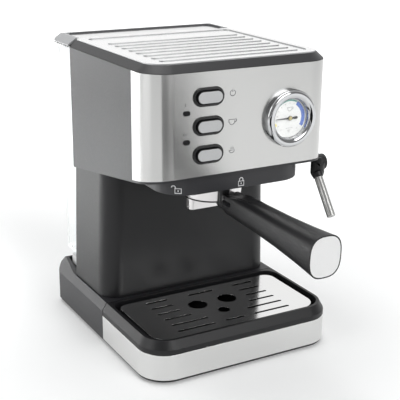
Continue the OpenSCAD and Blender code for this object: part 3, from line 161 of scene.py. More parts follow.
abs_black = moulded("moulded black ABS", "#141416", "#18181a", 0.42, ior=1.42)
abs_grey = moulded("moulded dark grey ABS", "#242427", "#2a2a2d", 0.42, ior=1.46)
dress(abs_grey, "rear_base", "head_housing", "tank_seat")
dress(abs_black, "base_plate", "column_housing", "back_panel", "steam_socket", "wand_knuckle",
      "steam_knob", "drip_tray")
for piece, width in [("rear_base", 0.8), ("base_plate", 0.4), ("head_housing", 0.5),
                     ("column_housing", 0.6), ("back_panel", 0.5), ("drip_tray", 0.7),
                     ("steam_knob", 0.6), ("wand_knuckle", 0.4)]:
    ease(piece, width)

# ---------- Rubber parts ----------
# Moulded nitrile rubber: feet, cord gland, pump mounts and group gasket, pressed into their holes.
# It is dull and slightly dusty, and shows no clear highlight. The seat seal is red silicone, a
# little glossier.

rubber = moulded("moulded rubber", "#1b1b1c", "#242425", 0.75, 1.4, 0.3)
silicone_red = moulded("red silicone", "#8f2f24", "#a23a2c", 0.5)
dress(rubber, "rubber_feet", "cord_gland", "pump_mounts", "group_gasket")
dress(silicone_red, "seat_seal")

# ---------- Sheet steel ----------
# Type 430 stainless, pressed to shape. The head's front and the tray's band are brushed round both
# corners, which draws each reflection out into an upright band; the cup plate and the grille are
# polished, and mirror what is over them.

# Shares of a metal's roughness: a polished plate's flats and flanks, and any other metal's spread.
POLISHED_FLAT, POLISHED_FLANK, STEEL_SPREAD = 0.987, 2.053, 0.04
CLOUD = 70 * MM


def steel(name, tone, worn, roughness, lines, bump=0.03, anisotropy=0.0, flank_shade=None):
    """Stainless steel or another bare metal. lines is its marks' size in mm along X, Y and Z.

    The flank tone is painted shade on a rib's steep sides, which are also rougher.
    """
    def surface(m):
        place = add(m, "TexCoord").outputs["Object"]
        along = add(m, "Mapping", {"Vector": place, "Scale": [1 / (v * MM) for v in lines]})
        marks = add(m, "TexNoise", {"Vector": along.outputs[0], "Scale": 1.0, "Detail": 3.0,
                                    "Roughness": 0.65})
        tint = add(m, "Mix", {0: marks.outputs["Fac"], 6: linear(tone), 7: linear(worn)},
                   data_type="RGBA")
        if flank_shade:
            # Painted shade: the steeper a face leans from level, the more of the flank tone it takes.
            level = add(m, "SeparateXYZ", {"Vector": add(m, "NewGeometry").outputs["Normal"]})
            steep = add(m, "MapRange", {"Value": level.outputs["Z"], "From Min": 0.5,
                                        "From Max": 0.98, "To Min": 1.0, "To Max": 0.0})
            tint = add(m, "Mix", {0: steep.outputs[0], 6: tint.outputs[2], 7: linear(flank_shade)},
                       data_type="RGBA")
            gloss = add(m, "MapRange", {"Value": steep.outputs[0],
                                        "To Min": roughness * POLISHED_FLAT,
                                        "To Max": roughness * POLISHED_FLANK})
        else:
            cloud = add(m, "TexNoise", {"Vector": place, "Scale": 1 / CLOUD, "Detail": 1.0})
            both = add(m, "Math", {0: marks.outputs["Fac"], 1: cloud.outputs["Fac"]},
                       operation="MULTIPLY")
            gloss = add(m, "MapRange", {"Value": both.outputs[0], "From Min": 0.1,
                                        "From Max": 0.4,
                                        "To Min": roughness * (1 - STEEL_SPREAD),
                                        "To Max": roughness * (1 + STEEL_SPREAD)}, clamp=False)
        relief = add(m, "Bump", {"Height": marks.outputs["Fac"], "Strength": bump,
                                 "Distance": GRAIN_DEPTH})
        inputs = {"Base Color": tint.outputs[2], "Metallic": 1.0, "Roughness": gloss.outputs[0],
                  "Normal": relief.outputs[0]}
        if anisotropy:
            inputs["Anisotropic"] = anisotropy
            inputs["Anisotropic Rotation"] = 0.25
            inputs["Tangent"] = add(m, "Tangent", direction_type="RADIAL", axis="Z").outputs[0]
        return add(m, "BsdfPrincipled", inputs).outputs[0]
    return finish_material(name, surface)


brushed = steel("brushed stainless steel", "#bcbcbb", "#c1c1c0", 0.26, (90, 90, 1.1), 0.0, 0.8)
# The band is the same brushed steel in a lighter tone: painted light for its brighter reflections.
lit_band_steel = steel("brushed band with painted light", "#dadad9", "#dfdfde", 0.26, (90, 90, 1.1), 0.0, 0.8)
# The cup plate's ribs take a painted shade on their steep sides.
plate_steel = steel("polished cup plate", "#f4f4f4", "#f8f8f8", 0.20, (60, 1.6, 60), 0.0,
                    flank_shade="#a2a3a4")
grille_steel = steel("polished grille", "#e8e8e8", "#ededec", 0.13, (60, 1.6, 60), 0.004)
dress(brushed, "steel_front")
dress(lit_band_steel, "tray_band")
dress(plate_steel, "cup_plate")
dress(grille_steel, "drip_grille")
for piece, width in [("steel_front", 0.2), ("tray_band", 0.2), ("drip_grille", 0.35)]:
    ease(piece, width)

# ---------- Cast, turned and drawn metal inside ----------
# Gravity-cast aluminium boiler and collar with a dull skin, bright zinc-plated screws, turned brass
# and drawn copper pipe. They keep the marks of the mould, the lathe and the draw plate.

cast = steel("cast aluminium", "#a3a4a6", "#b3b4b6", 0.5, (2.2, 2.2, 2.2), 0.5)
zinc = steel("zinc plate", "#a9abae", "#bcbdbf", 0.32, (3, 3, 3), 0.1)
brass = steel("turned brass", "#b08a3c", "#c49d4d", 0.28, (1.5, 20, 20), 0.08)
copper = steel("drawn copper", "#b8744a", "#c98557", 0.25, (12, 12, 2), 0.05)
dress(cast, "bayonet_collar", "boiler_lower", "boiler_upper")
dress(zinc, "base_screws", "boiler_bolts", "heating_element")
dress(brass, "pump", "steam_valve")
dress(copper, "steam_pipe")

# ---------- Other inner parts ----------
# Moulded cream nylon switches and check valve with a satin skin, a control board of green epoxy
# laminate screwed inside the head, and milky silicone hose pushed over its barbs.

nylon = moulded("cream nylon", "#d9d4c4", "#e4e0d2", 0.45)
board = moulded("green laminate", "#1f5a38", "#2a6a43", 0.35, 2.5)
hose = moulded("silicone hose", "#cfcabb", "#dcd8ca", 0.4)
dress(nylon, "thermostats", "switch_blocks", "tank_outlet")
dress(board, "control_board")
dress(hose, "water_hoses")

# ---------- Head rim and tank lid ----------
# The rim is a dark grey moulding round the cup plate. The lid is silver-white painted ABS with a
# soft gloss; a milk-white mat is laid in its shallow tray, and a grey strip along the tray's back
# and right walls is painted shade on that wall. A rubber bead closes the joint between rim and lid.

rim_grey = moulded("moulded mid grey ABS", "#202022", "#252527", 0.38)
lid_white = moulded("silver-white painted ABS", "#9fa0a2", "#a7a8a9", 0.34, 0.9, 0.02)
foot_white = moulded("pale grey ABS", "#ececec", "#f0f0f0", 0.45, 0.9, 0.02)
dress(rim_grey, "top_rim")
dress(lid_white, "tank_lid")
dress(foot_white, "tank_foot")
for piece, width in [("top_rim", 0.8), ("tank_lid", 0.6), ("tank_foot", 0.6)]:
    ease(piece, width)


def box_mm(name):
    """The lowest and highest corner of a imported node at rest, in mm."""
    return [[v / MM for v in corner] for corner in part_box(name)]


def meshed(shape, name):
    """A finished bmesh as a mesh."""
    mesh = bpy.data.meshes.new(name)
    shape.to_mesh(mesh)
    shape.free()
    return mesh


def fit(name, mesh, material, body):
    """Put a finished mesh in the scene as a piece on body, shaded sharp past 35 degrees."""
    mesh.name = name
    mesh.materials.clear()
    mesh.materials.append(material)
    mesh.shade_smooth()
    mesh.set_sharp_from_angle(angle=math.radians(35))
    piece = bpy.data.objects.new(name, mesh)
    bpy.context.scene.collection.objects.link(piece)
    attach(piece, body)
    return piece


def bead(strokes, radius):
    """A mesh of round beads, radius mm thick, along strokes: lists of points in mm."""
    line = bpy.data.curves.new("line", "CURVE")
    line.dimensions = "3D"
    line.bevel_depth = radius * MM
    line.bevel_resolution = 2
    line.use_fill_caps = True
    for points in strokes:
        spline = line.splines.new("POLY")
        spline.points.add(len(points) - 1)
        for point, place in zip(spline.points, points):
            point.co = [v * MM for v in place] + [1]
    drawn = bpy.data.objects.new("line", line)
    bpy.context.scene.collection.objects.link(drawn)
    bpy.context.view_layer.update()
    mesh = bpy.data.meshes.new_from_object(
        drawn.evaluated_get(bpy.context.evaluated_depsgraph_get()))
    bpy.data.objects.remove(drawn)
    return mesh


def arc(x, y, radius, start, end, steps=12):
    """Points in mm on an arc about (x, y), from start to end degrees."""
    angles = [math.radians(start + (end - start) * i / steps) for i in range(steps + 1)]
    return [(x + radius * math.cos(a), y + radius * math.sin(a)) for a in angles]


def wall(points, low, high, thick):
    """A thin upright wall in mm along points (x, y), from low to high."""
    shape = bmesh.new()
    verts = [shape.verts.new((x * MM, y * MM, low * MM)) for x, y in points]
    edges = [shape.edges.new(pair) for pair in zip(verts, verts[1:])]
    grown = bmesh.ops.extrude_edge_only(shape, edges=edges)["geom"]
    bmesh.ops.translate(shape, vec=(0, 0, (high - low) * MM),
                        verts=[v for v in grown if isinstance(v, bmesh.types.BMVert)])
    bmesh.ops.solidify(shape, geom=shape.faces[:], thickness=thick * MM)
    bmesh.ops.recalc_face_normals(shape, faces=shape.faces[:])
    return meshed(shape, "wall")


(rim_x0, rim_y0, rim_z0), (rim_x1, rim_y1, rim_z1) = box_mm("top_rim")
(lid_x0, lid_y0, _), (lid_x1, lid_y1, lid_z1) = box_mm("tank_lid")
BEAD_R = 0.6
seam_y = rim_y1 - 0.3
slope_x = 8.2
seam = bead([[(rim_x0 + 0.1, seam_y, rim_z0 + 0.7), (rim_x0 + slope_x, seam_y, rim_z1 - 0.5),
              (rim_x1 - slope_x, seam_y, rim_z1 - 0.5), (rim_x1 - 0.1, seam_y, rim_z0 + 0.7)]],
            BEAD_R)
fit("lid_seam_bead", seam, rubber, "chassis")

# The shallow tray in the lid: half its width, its back edge and the radius of its corners.
tray_x, tray_y, tray_r = lid_x1 - 12.6, lid_y1 - 6.0, 9
tray_edge = ([(5 - tray_x, tray_y)] + arc(tray_x - tray_r, tray_y - tray_r, tray_r, 90, 0) +
             [(tray_x, lid_y0 + 12)])
# A grey strip along the tray's back and right walls: painted shade where that wall is in shadow.
tray_wall_shade = moulded("painted shade on the lid tray's wall", "#4b4b4d", "#525254", 0.5, 0.9, 0.02)
fit("lid_tray_wall_shade", wall(tray_edge, lid_z1 - 1.9, lid_z1 - 0.1, 0.5), tray_wall_shade, "lid")

MAT_THICK = 0.5
mat_z = lid_z1 - 3.2
half = tray_edge[1:-1] + [(tray_x, lid_y0 + 4.0)]
outline = half + [(-x, y) for x, y in reversed(half)]
shape = bmesh.new()
shape.faces.new([shape.verts.new((x * 0.996 * MM, (y - 0.4) * MM, mat_z * MM))
                 for x, y in outline])
grown = bmesh.ops.extrude_face_region(shape, geom=shape.faces[:])["geom"]
bmesh.ops.translate(shape, vec=(0, 0, MAT_THICK * MM),
                    verts=[v for v in grown if isinstance(v, bmesh.types.BMVert)])
bmesh.ops.recalc_face_normals(shape, faces=shape.faces[:])
mat_white = moulded("milk-white silicone", "#e2e2e2", "#e8e8e8", 0.5, 0.9, 0.02)
fit("lid_tray_mat", meshed(shape, "mat"), mat_white, "lid")

side_x, side_z = lid_x0 + 1.0, rim_z0 - 0.3
under_lid = bead([[(side_x, lid_y1 - 6, side_z), (side_x, lid_y0 + 1.2, side_z)]], BEAD_R)
fit("lid_side_bead", under_lid, rubber, "lid")

head_r = 25.3
rim_line = ([(rim_x0, rim_y1 - 2)] + arc(rim_x0 + head_r, rim_y0 + head_r, head_r, 180, 270, 24) +
            arc(rim_x1 - head_r, rim_y0 + head_r, head_r, 270, 360, 24) + [(rim_x1, rim_y1 - 2)])
joint = bead([[(x * 0.9975, y * 0.9975, rim_z0 - 0.1) for x, y in rim_line]], 0.38)
fit("rim_joint_bead", joint, rubber, "chassis")

# ---------- Water tank ----------
# Clear injection-moulded SAN, polished in the mould: nearly invisible, apart from the glints on
# its walls. A grey line is painted where each side meets the back, for the shade that edge
# shows.


def clear_plastic(m):
    """Clear plastic that lets the lamps' light through to what is behind it.

    Its IOR is low, as a thin wall bends no light; the coat gives the wall its real reflections.
    """
    body = add(m, "BsdfPrincipled", {
        "Base Color": linear("#feffff"), "Roughness": 0.0, "IOR": 1.05,
        "Transmission Weight": 1.0, "Coat Weight": 0.5, "Coat Roughness": 0.03, "Coat IOR": 1.5})
    return add(m, "MixShader", {
        0: add(m, "LightPath").outputs["Is Shadow Ray"], 1: body.outputs[0],
        2: add(m, "BsdfTransparent").outputs[0]}).outputs[0]


clear = finish_material("clear moulded SAN", clear_plastic)
dress(clear, "tank_shell", "gauge_glass")
(_, _, tank_z0), (tank_x1, tank_y1, tank_z1) = box_mm("tank_shell")
# Grey beads along the tank's edges: painted shade where the clear wall's edge looks darker.
edge_line_shade = moulded("painted edge line of clear SAN", "#8f9193", "#989a9c", 0.5, 0.9, 0.0)
edge_y = tank_y1 - 6.7
tank_edges = [[(side * (tank_x1 - 1.9), edge_y, tank_z1 - 2),
               (side * (tank_x1 - 5.9), edge_y, tank_z0 + 10)] for side in (-1, 1)]
fit("tank_edge_lines", bead(tank_edges, 0.3), edge_line_shade, "tank")

# ---------- Group shroud, bayonet and their signs ----------
# Black ABS skirt round the group, in one moulding with the head's underside. Two pad-printed
# padlocks, open at the left and closed in the middle, show the filter holder's travel.

shroud_black = moulded("moulded black ABS skirt", "#2a2a2d", "#303033", 0.42)
dress(shroud_black, "group_shroud")
ease("group_shroud", 0.8)
print_white = moulded("pale printing ink", "#d4d4d6", "#dcdcdd", 0.5, 0.9, 0.0)
print_grey = moulded("grey printing ink", "#4c4d4f", "#56575a", 0.5, 0.9, 0.0)


def sign(name, strokes, radius, place, out, material, body, depth=0.2):
    """A printed sign of strokes (right, up) in mm at place, facing out, almost flat."""
    mesh = bead([[(u, 0, v) for u, v in stroke] for stroke in strokes], radius)
    out = Vector(out).normalized()
    right = out.cross(Vector((0, 0, 1))).normalized() * -1
    turn = Matrix((right, -out * depth, right.cross(-out))).transposed()
    mesh.transform(Matrix.Translation(Vector(place) * MM) @ turn.to_4x4())
    return fit(name, mesh, material, body)


LOCK_X, LOCK_Z, LOCK_LINE = 2.9, 2.2, 0.46
lock_body = [(-LOCK_X, -LOCK_Z), (LOCK_X, -LOCK_Z), (LOCK_X, LOCK_Z), (-LOCK_X, LOCK_Z),
             (-LOCK_X, -LOCK_Z), (LOCK_X, -LOCK_Z)]
keyhole = [(0, -0.8), (0, 0.8)]
shackle = [(-1.9, LOCK_Z)] + arc(0, 3.6, 1.9, 180, 0) + [(1.9, LOCK_Z)]
open_shackle = [(-2.5, LOCK_Z)] + arc(-4.3, 3.0, 1.8, 0, 175)
(skirt_x0, skirt_y0, skirt_z0), _ = box_mm("group_shroud")
lock_z = skirt_z0 + 4.3
sign("open_padlock", [lock_body, keyhole, open_shackle], LOCK_LINE,
     (skirt_x0 + 12, skirt_y0 + 5.95, lock_z), (-0.6, -0.8, 0), print_white, "chassis")
sign("closed_padlock", [lock_body, keyhole, shackle], LOCK_LINE, (-0.2, skirt_y0 - 0.05, lock_z),
     (0, -1, 0), print_white, "chassis")

# ---------- Buttons, bezels and lamps ----------
# Bezels are gloss black ABS clipped into the steel, each with a sharp highlight; the caps are
# painted a satin silver; the lamp lenses are smoked acrylic, so dark that they look black. Each
# button has a grey pad-printed sign at its right.

gloss_black = moulded("gloss black ABS", "#151517", "#1a1a1c", 0.16, 1.5, 0.02)
silver_paint = moulded("silver paint on ABS", "#bdbebf", "#c6c7c8", 0.30, 1.0, 0.03)
dress(gloss_black, "button_bezels", "indicator_lenses", "gauge_needle")
dress(abs_black, "power_button", "brew_button", "steam_button")
dress(silver_paint, "power_button_cap", "brew_button_cap", "steam_button_cap")
for piece, width in [("button_bezels", 0.7), ("power_button_cap", 0.6), ("brew_button_cap", 0.6),
                     ("steam_button_cap", 0.6)]:
    ease(piece, width)

face_y = box_mm("steel_front")[0][1] - 0.02
sign_x = box_mm("button_bezels")[1][0] + 9.1
cup = [[(-3.6, 2.0), (-3.4, 0.2), (-2.2, -2.0), (-1.4, -2.5), (0.8, -2.5), (1.7, -2.0), (2.8, 0.2),
        (3.0, 2.0), (-3.6, 2.0)], arc(3.1, 0.9, 1.5, 80, -100)]
power_mark = [arc(0, 0, 2.7, 120, 420, 24), [(0, 0.9), (0, 3.3)]]
steam_mark = [arc(0, 0.6, 2.9, 190, 350, 16) + [(-2.86, 0.1)],
              [(-1.0, 1.2), (-0.3, 2.2), (-1.0, 3.2)], [(1.0, 1.2), (1.7, 2.2), (1.0, 3.2)]]
for name, strokes, cap, lift in [("power_sign", power_mark, "power_button_cap", 1.1),
                                 ("cup_sign", cup, "brew_button_cap", 1.0),
                                 ("steam_sign", steam_mark, "steam_button_cap", 0.5)]:
    cap_low, cap_high = box_mm(cap)
    sign(name, strokes, 0.3, (sign_x, face_y, (cap_low[2] + cap_high[2]) / 2 + lift), (0, -1, 0),
         print_grey, "chassis")
(lens_x0, _, lens_z0), (lens_x1, _, lens_z1) = box_mm("indicator_lenses")
lamp_x = (lens_x0 + lens_x1) / 2 - 1.1
sign("power_lamp_mark", [[(0, -1.3), (0, 1.3)]], 0.24, (lamp_x, face_y, lens_z1 + 5.35),
     (0, -1, 0), print_grey, "chassis")
ready_mark = [arc(-1.1, 0, 0.95, 0, 360), [(0.6, 0.1), (1.2, -0.8), (2.2, 1.1)]]
sign("ready_lamp_mark", ready_mark, 0.22, (lamp_x, face_y, lens_z0 + 9.55), (0, -1, 0),
     print_grey, "chassis")

# ---------- Gauge ----------
# A bimetal thermometer: a spun brass ring, chromed to a mirror, round a flat glass; a dial in even
# white enamel with printed bands; and a black pointer pushed on a lacquered brass hub.

chrome = steel("chrome plate", "#b8b9bb", "#c1c2c3", 0.10, (25, 25, 25), 0.0)
enamel = moulded("white enamel", "#cfcecd", "#d5d5d3", 0.3, 3.0, 0.0)
dress(enamel, "gauge_dial")
dress(abs_black, "gauge_case")
(gauge_x0, _, gauge_z0), (gauge_x1, gauge_y, gauge_z1) = box_mm("gauge_bezel")
gauge_x, gauge_z = (gauge_x0 + gauge_x1) / 2, (gauge_z0 + gauge_z1) / 2
dial_y = box_mm("gauge_dial")[0][1]


def turned(profile, x, y, z):
    """A ring turned about the Y axis through (x, y, z): profile is (radius, reach to -Y) in mm."""
    shape = bmesh.new()
    verts = [shape.verts.new((r * MM, -reach * MM, 0)) for r, reach in profile]
    edges = [shape.edges.new(pair) for pair in zip(verts, verts[1:] + verts[:1])]
    bmesh.ops.spin(shape, geom=verts + edges, axis=(0, 1, 0), cent=(0, 0, 0), steps=96,
                   angle=math.radians(360), use_merge=True)
    bmesh.ops.remove_doubles(shape, verts=shape.verts[:], dist=WELD_GAP)
    bmesh.ops.recalc_face_normals(shape, faces=shape.faces[:])
    bmesh.ops.translate(shape, vec=(x * MM, y * MM, z * MM), verts=shape.verts[:])
    return meshed(shape, "turned")


# The ring rises from its outer foot to a round crown, and falls in a hollow curve to the glass.
CROWN_R = 23.6
crown = [(CROWN_R + 3.4 * math.cos(math.radians(a)), 3.4 + 3.6 * math.sin(math.radians(a)))
         for a in range(0, 91, 10)]
bowl_in = [(CROWN_R - 4.9 * math.sin(math.radians(a)), 4.2 + 2.8 * math.cos(math.radians(a)))
           for a in range(10, 91, 10)]
ring_profile = [(27, 0.02)] + crown + bowl_in + [(18.7, 0.02)]
ring = fit("gauge_ring", turned(ring_profile, gauge_x, gauge_y, gauge_z), chrome, "chassis")
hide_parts("gauge_bezel")

band_blue = moulded("blue dial print", "#4a63a6", "#526cae", 0.4, 0.9, 0.0)
band_green = moulded("green dial print", "#5d8f86", "#66988f", 0.4, 0.9, 0.0)
band_yellow = moulded("yellow dial print", "#d8c95a", "#e0d268", 0.4, 0.9, 0.0)


def dial_print(name, strokes, radius, material):
    """Print on the dial: strokes (right, up) in mm about its middle."""
    sign(name, strokes, radius, (gauge_x, dial_y - 0.05, gauge_z), (0, -1, 0), material, "chassis",
         0.05)


dial_print("dial_blue_band", [arc(0, 0, 15.4, 60, -32, 24)], 1.9, band_blue)
dial_print("dial_green_band", [arc(0, 0, 16.6, 132, 62, 24)], 0.8, band_green)
dial_print("dial_yellow_mark", [arc(0, 0, 15.6, 196, 206, 3)], 0.7, band_yellow)
ticks = [[(r * math.cos(math.radians(a)), r * math.sin(math.radians(a))) for r in (13.2, 14.4)]
         for a in range(-50, 231, 20)]
small_cup = [[(u * 0.75 + 0.4, v * 0.75 + 8.4) for u, v in stroke] for stroke in cup]
foot_marks = [[(x, -9.6), (x + 1.2, -9.6)] for x in (-3.4, -1.4, 0.6, 2.6)]
dial_print("dial_marks", ticks + small_cup + foot_marks + [
    [(-1.4, -11.6), (1.4, -11.6), (0, -13.8), (-1.4, -11.6)]], 0.2, print_grey)
pale_brass = steel("lacquered brass hub", "#b3a673", "#c0b482", 0.35, (12, 12, 12), 0.0)
needle_y = box_mm("gauge_needle")[0][1]
fit("needle_hub", turned([(0.02, 0), (1.9, 0), (1.8, 0.3), (1.0, 0.42), (0.02, 0.42)],
                         gauge_x, needle_y, gauge_z), pale_brass, "needle")

# ---------- Filter holder ----------
# A chromed brass bowl and twin spout, satin on the outside, and a long black ABS handle screwed on
# through a black neck. A white cap is pressed into its end, and a thumb lever holds the basket.

satin = steel("satin chrome", "#dcdada", "#e2e0e0", 0.34, (25, 25, 25), 0.0)
polished = steel("polished stainless steel", "#cfd0d2", "#dadbdc", 0.14, (30, 1.5, 1.5), 0.01)
handle_black = moulded("semi-gloss black ABS", "#101012", "#141416", 0.42, 0.9, 0.0, 1.38)
cap_white = moulded("silver-white handle cap", "#ececec", "#f0f0f0", 0.30, 0.9, 0.0)
dress(satin, "filter_bowl", "spout_block")
dress(polished, "filter_basket", "shower_plate", "shower_screw")
dress(handle_black, "handle_grip", "retention_lever")
dress(cap_white, "handle_cap")
(_, spout_y0, _), (_, spout_y1, spout_z1) = box_mm("spout_block")
# A dark ring under the bowl's foot: painted shade below the bowl's rim, above the spout block.
ring_line = arc(0, (spout_y0 + spout_y1) / 2, 27.6, 0, 360, 72)
bowl_shade_ring = bead([[(x, y, spout_z1 - 0.2) for x, y in ring_line]], 0.75)
fit("bowl_foot_shade_ring", bowl_shade_ring, rubber, "filter_holder")
ease("filter_bowl", 0.5)
ease("spout_block", 0.8)
smooth("handle_grip", 40)

# The neck, its ring and the clip at its side are placed from the grip's inner end and the lever.
grip_y = box_mm("handle_grip")[1][1]
(lever_x0, _, lever_z0), _ = box_mm("retention_lever")
NECK_SIZE, NECK_ROUND = (11.0, 9.6, 24.6), 3.6
shape = bmesh.new()
bmesh.ops.create_cube(shape, size=MM)
bmesh.ops.scale(shape, vec=NECK_SIZE, verts=shape.verts[:])
bmesh.ops.bevel(shape, geom=shape.edges[:], offset=NECK_ROUND * MM, segments=5, profile=0.5,
                affect="EDGES", material=-1)
bmesh.ops.translate(shape, vec=(-4.4 * MM, (grip_y + 4.6) * MM, (lever_z0 - 0.7) * MM),
                    verts=shape.verts[:])
fit("handle_neck", meshed(shape, "neck"), handle_black, "filter_holder")
neck_ring = turned([(9.6, 0), (10.3, 0.3), (10.5, 0.8), (10.3, 1.3), (9.6, 1.6)],
                   0, grip_y + 10.4, lever_z0 - 4.3)
fit("neck_ring", neck_ring, chrome, "filter_holder")

CLIP_SIZE, CLIP_ROUND = (0.9, 12.6, 4.4), 2.1
shape = bmesh.new()
bmesh.ops.create_cube(shape, size=MM)
bmesh.ops.scale(shape, vec=CLIP_SIZE, verts=shape.verts[:])
across = [e for e in shape.edges if abs(e.verts[0].co.x - e.verts[1].co.x) > 0.5 * MM]
bmesh.ops.bevel(shape, geom=across, offset=CLIP_ROUND * MM, segments=6, profile=0.5,
                affect="EDGES", material=-1)
bmesh.ops.translate(shape, vec=((lever_x0 - 1.15) * MM, (grip_y - 11.9) * MM,
                                (lever_z0 - 3.1) * MM), verts=shape.verts[:])
fit("handle_side_clip", meshed(shape, "clip"), gloss_black, "filter_holder")

# ---------- Steam wand ----------
# A stainless tube with a satin finish, pushed into a black ABS knuckle. A moulded collar closes
# the joint between the two, and swings with them.

satin_tube = steel("satin stainless tube", "#c6c6c3", "#ababaa", 0.30, (25, 25, 25), 0.0)
dress(satin_tube, "wand_tube")
WAND_TILT = 35.7
COLLAR_LONG, COLLAR_R0, COLLAR_R1, COLLAR_DOWN = 5, 4.9, 6.0, 9.3
swing = next(joint for joint in frame["joints"] if joint["name"] == "wand_swing")["pos_m"]
shape = bmesh.new()
bmesh.ops.create_cone(shape, cap_ends=True, segments=48, radius1=COLLAR_R0 * MM,
                      radius2=COLLAR_R1 * MM, depth=COLLAR_LONG * MM)
rims = [e for e in shape.edges if abs(e.verts[0].co.z - e.verts[1].co.z) < 0.1 * MM]
bmesh.ops.bevel(shape, geom=rims, offset=0.8 * MM, segments=3, profile=0.5, affect="EDGES",
                material=-1)
bmesh.ops.translate(shape, vec=(0, 0, -COLLAR_DOWN * MM), verts=shape.verts[:])
bmesh.ops.rotate(shape, cent=(0, 0, 0), matrix=Matrix.Rotation(math.radians(-WAND_TILT), 3, "X"),
                 verts=shape.verts[:])
bmesh.ops.translate(shape, vec=Vector(swing) + Vector((0, 1.0, -0.3)) * MM,
                    verts=shape.verts[:])
fit("wand_collar", meshed(shape, "collar"), abs_black, "wand")

# ---------- Studio ----------
# A pale table, soft lamps above and before it, low ones at the left, and a spot on the table behind
# at the left that the dark plastic mirrors. A dark card gives the steel's corner its band.

floor_mesh = bmesh.new()
bmesh.ops.create_grid(floor_mesh, x_segments=1, y_segments=1, size=9)
table = bpy.data.objects.new("table", bpy.data.meshes.new("table"))
floor_mesh.to_mesh(table.data)
bpy.context.scene.collection.objects.link(table)


def table_top(m):
    """Pale paper that keeps the machine's shadow, and fades to plain white away from it."""
    place = add(m, "TexCoord").outputs["Object"]
    shifted = add(m, "Mapping", {"Vector": place, "Location": (0.12, 0.0, 0.0)})
    away = add(m, "VectorMath", {0: shifted.outputs[0]}, operation="LENGTH")
    fade = add(m, "MapRange", {"Value": away.outputs["Value"], "From Min": 0.25, "From Max": 0.9,
                               "To Min": 0.2, "To Max": 0.6}, interpolation_type="SMOOTHSTEP")
    path = add(m, "LightPath")
    seen = add(m, "Math", {0: path.outputs["Is Camera Ray"], 1: path.outputs["Is Glossy Ray"]},
               operation="MAXIMUM")
    seen = add(m, "Math", {0: seen.outputs[0], 1: path.outputs["Is Transmission Ray"]},
               operation="MAXIMUM")
    share = add(m, "Math", {0: seen.outputs[0], 1: fade.outputs[0]}, operation="MULTIPLY")
    far = add(m, "MapRange", {"Value": away.outputs["Value"], "From Min": 0.7, "From Max": 1.5,
                              "To Min": 0.0, "To Max": 0.5})
    share = add(m, "Math", {0: far.outputs[0], 1: path.outputs["Is Camera Ray"],
                            2: share.outputs[0]}, operation="MULTIPLY_ADD")
    paper = add(m, "BsdfDiffuse", {"Color": linear("#e8e9e9")})
    white = add(m, "Emission", {"Color": (1, 1, 1, 1), "Strength": share.outputs[0]})
    return add(m, "AddShader", {0: paper.outputs[0], 1: white.outputs[0]}).outputs[0]


table.data.materials.append(finish_material("pale paper", table_top))

scene = bpy.context.scene
scene.view_settings.view_transform = "Standard"
world = bpy.data.worlds.new("studio")
scene.world = world
world.use_nodes = True
world.node_tree.nodes.clear()
path = add(world, "LightPath")
seen = add(world, "Math", {0: path.outputs["Is Camera Ray"],
                           1: path.outputs["Is Transmission Ray"]}, operation="MAXIMUM")
level = add(world, "MapRange", {"Value": seen.outputs[0], "To Min": 0.30, "To Max": 1.0})
# What metal mirrors is bright behind the machine and darker towards the front of the room.
toward = add(world, "SeparateXYZ", {"Vector": add(world, "TexCoord").outputs["Generated"]})
room = add(world, "MapRange", {"Value": toward.outputs["Y"], "From Min": -0.45, "From Max": 0.1,
                               "To Min": 0.0, "To Max": 0.7})
glint = add(world, "Math", {0: room.outputs[0], 1: path.outputs["Is Glossy Ray"]},
            operation="MULTIPLY")
level = add(world, "Math", {0: level.outputs[0], 1: glint.outputs[0]}, operation="ADD")
sky = add(world, "Background", {"Color": (1, 1, 1, 1), "Strength": level.outputs[0]})
add(world, "OutputWorld", {"Surface": sky.outputs[0]})

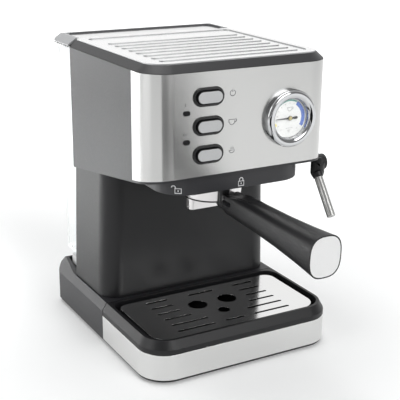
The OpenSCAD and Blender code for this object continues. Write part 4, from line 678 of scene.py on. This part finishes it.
# Each lamp's name, place and aim, the sides of its rectangle in metres, and its power in watts.
for name, place, aim, size, power in [
        ("low back left lamp", (-0.95, 1.35, 0.17), (0, 0, 0.12), (1.7, 0.3), 5),
        ("table lamp", (-0.42, 0.54, 0.8), (-0.42, 0.54, 0), (0.35, 0.75), 2.5),
        ("left lamp", (-1.8, -0.1, 0.9), (0, 0, 0.15), (1.0, 1.2), 7),
        ("top lamp", (0.0, 0.3, 2.0), (0, 0, 0), (1.5, 1.5), 22),
        ("front lamp", (0.5, -2.0, 1.3), (0, 0, 0.15), (1.2, 1.2), 23)]:
    lamp = bpy.data.objects.new(name, bpy.data.lights.new(name, "AREA"))
    lamp.data.shape = "RECTANGLE"
    lamp.data.size, lamp.data.size_y = size
    lamp.data.energy = power
    lamp.location = place
    lamp.rotation_euler = (Vector(aim) - Vector(place)).to_track_quat("-Z", "Y").to_euler()
    lamp.data.spread = math.radians(30 if name == "table lamp" else 180)
    lamp.visible_camera = False
    scene.collection.objects.link(lamp)


def card_face(m):
    """Dark card that only a glossy surface sees, for the band in the steel's rounded corner."""
    return add(m, "MixShader", {
        0: add(m, "LightPath").outputs["Is Glossy Ray"], 1: add(m, "BsdfTransparent").outputs[0],
        2: add(m, "Emission", {"Color": linear("#1c1b1c"), "Strength": 1.0}).outputs[0]}).outputs[0]


card_mesh = bmesh.new()
bmesh.ops.create_grid(card_mesh, x_segments=1, y_segments=1, size=0.5)
bmesh.ops.rotate(card_mesh, cent=(0, 0, 0), matrix=Matrix.Rotation(math.radians(90), 3, "X"),
                 verts=card_mesh.verts[:])
CARD_SCALE, CARD_PLACE = (0.56, 1, 0.2), (-0.052, -0.6, 0.1)
bmesh.ops.scale(card_mesh, vec=CARD_SCALE, verts=card_mesh.verts[:])
bmesh.ops.translate(card_mesh, vec=CARD_PLACE, verts=card_mesh.verts[:])
card = bpy.data.objects.new("dark_card", bpy.data.meshes.new("dark_card"))
card_mesh.to_mesh(card.data)
card.data.materials.append(finish_material("dark card", card_face))
scene.collection.objects.link(card)

# A long lens, from the front left and a little above the machine.
camera = bpy.data.objects.new("camera", bpy.data.cameras.new("camera"))
camera.data.sensor_width = 36
camera.data.lens = 84.52
camera.data.clip_start = 0.05
camera.location = (-0.4418, -0.80239, 0.43582)
camera.rotation_euler = [math.radians(v) for v in (71.8, -0.5373, -29.3407)]
scene.collection.objects.link(camera)
scene.camera = camera
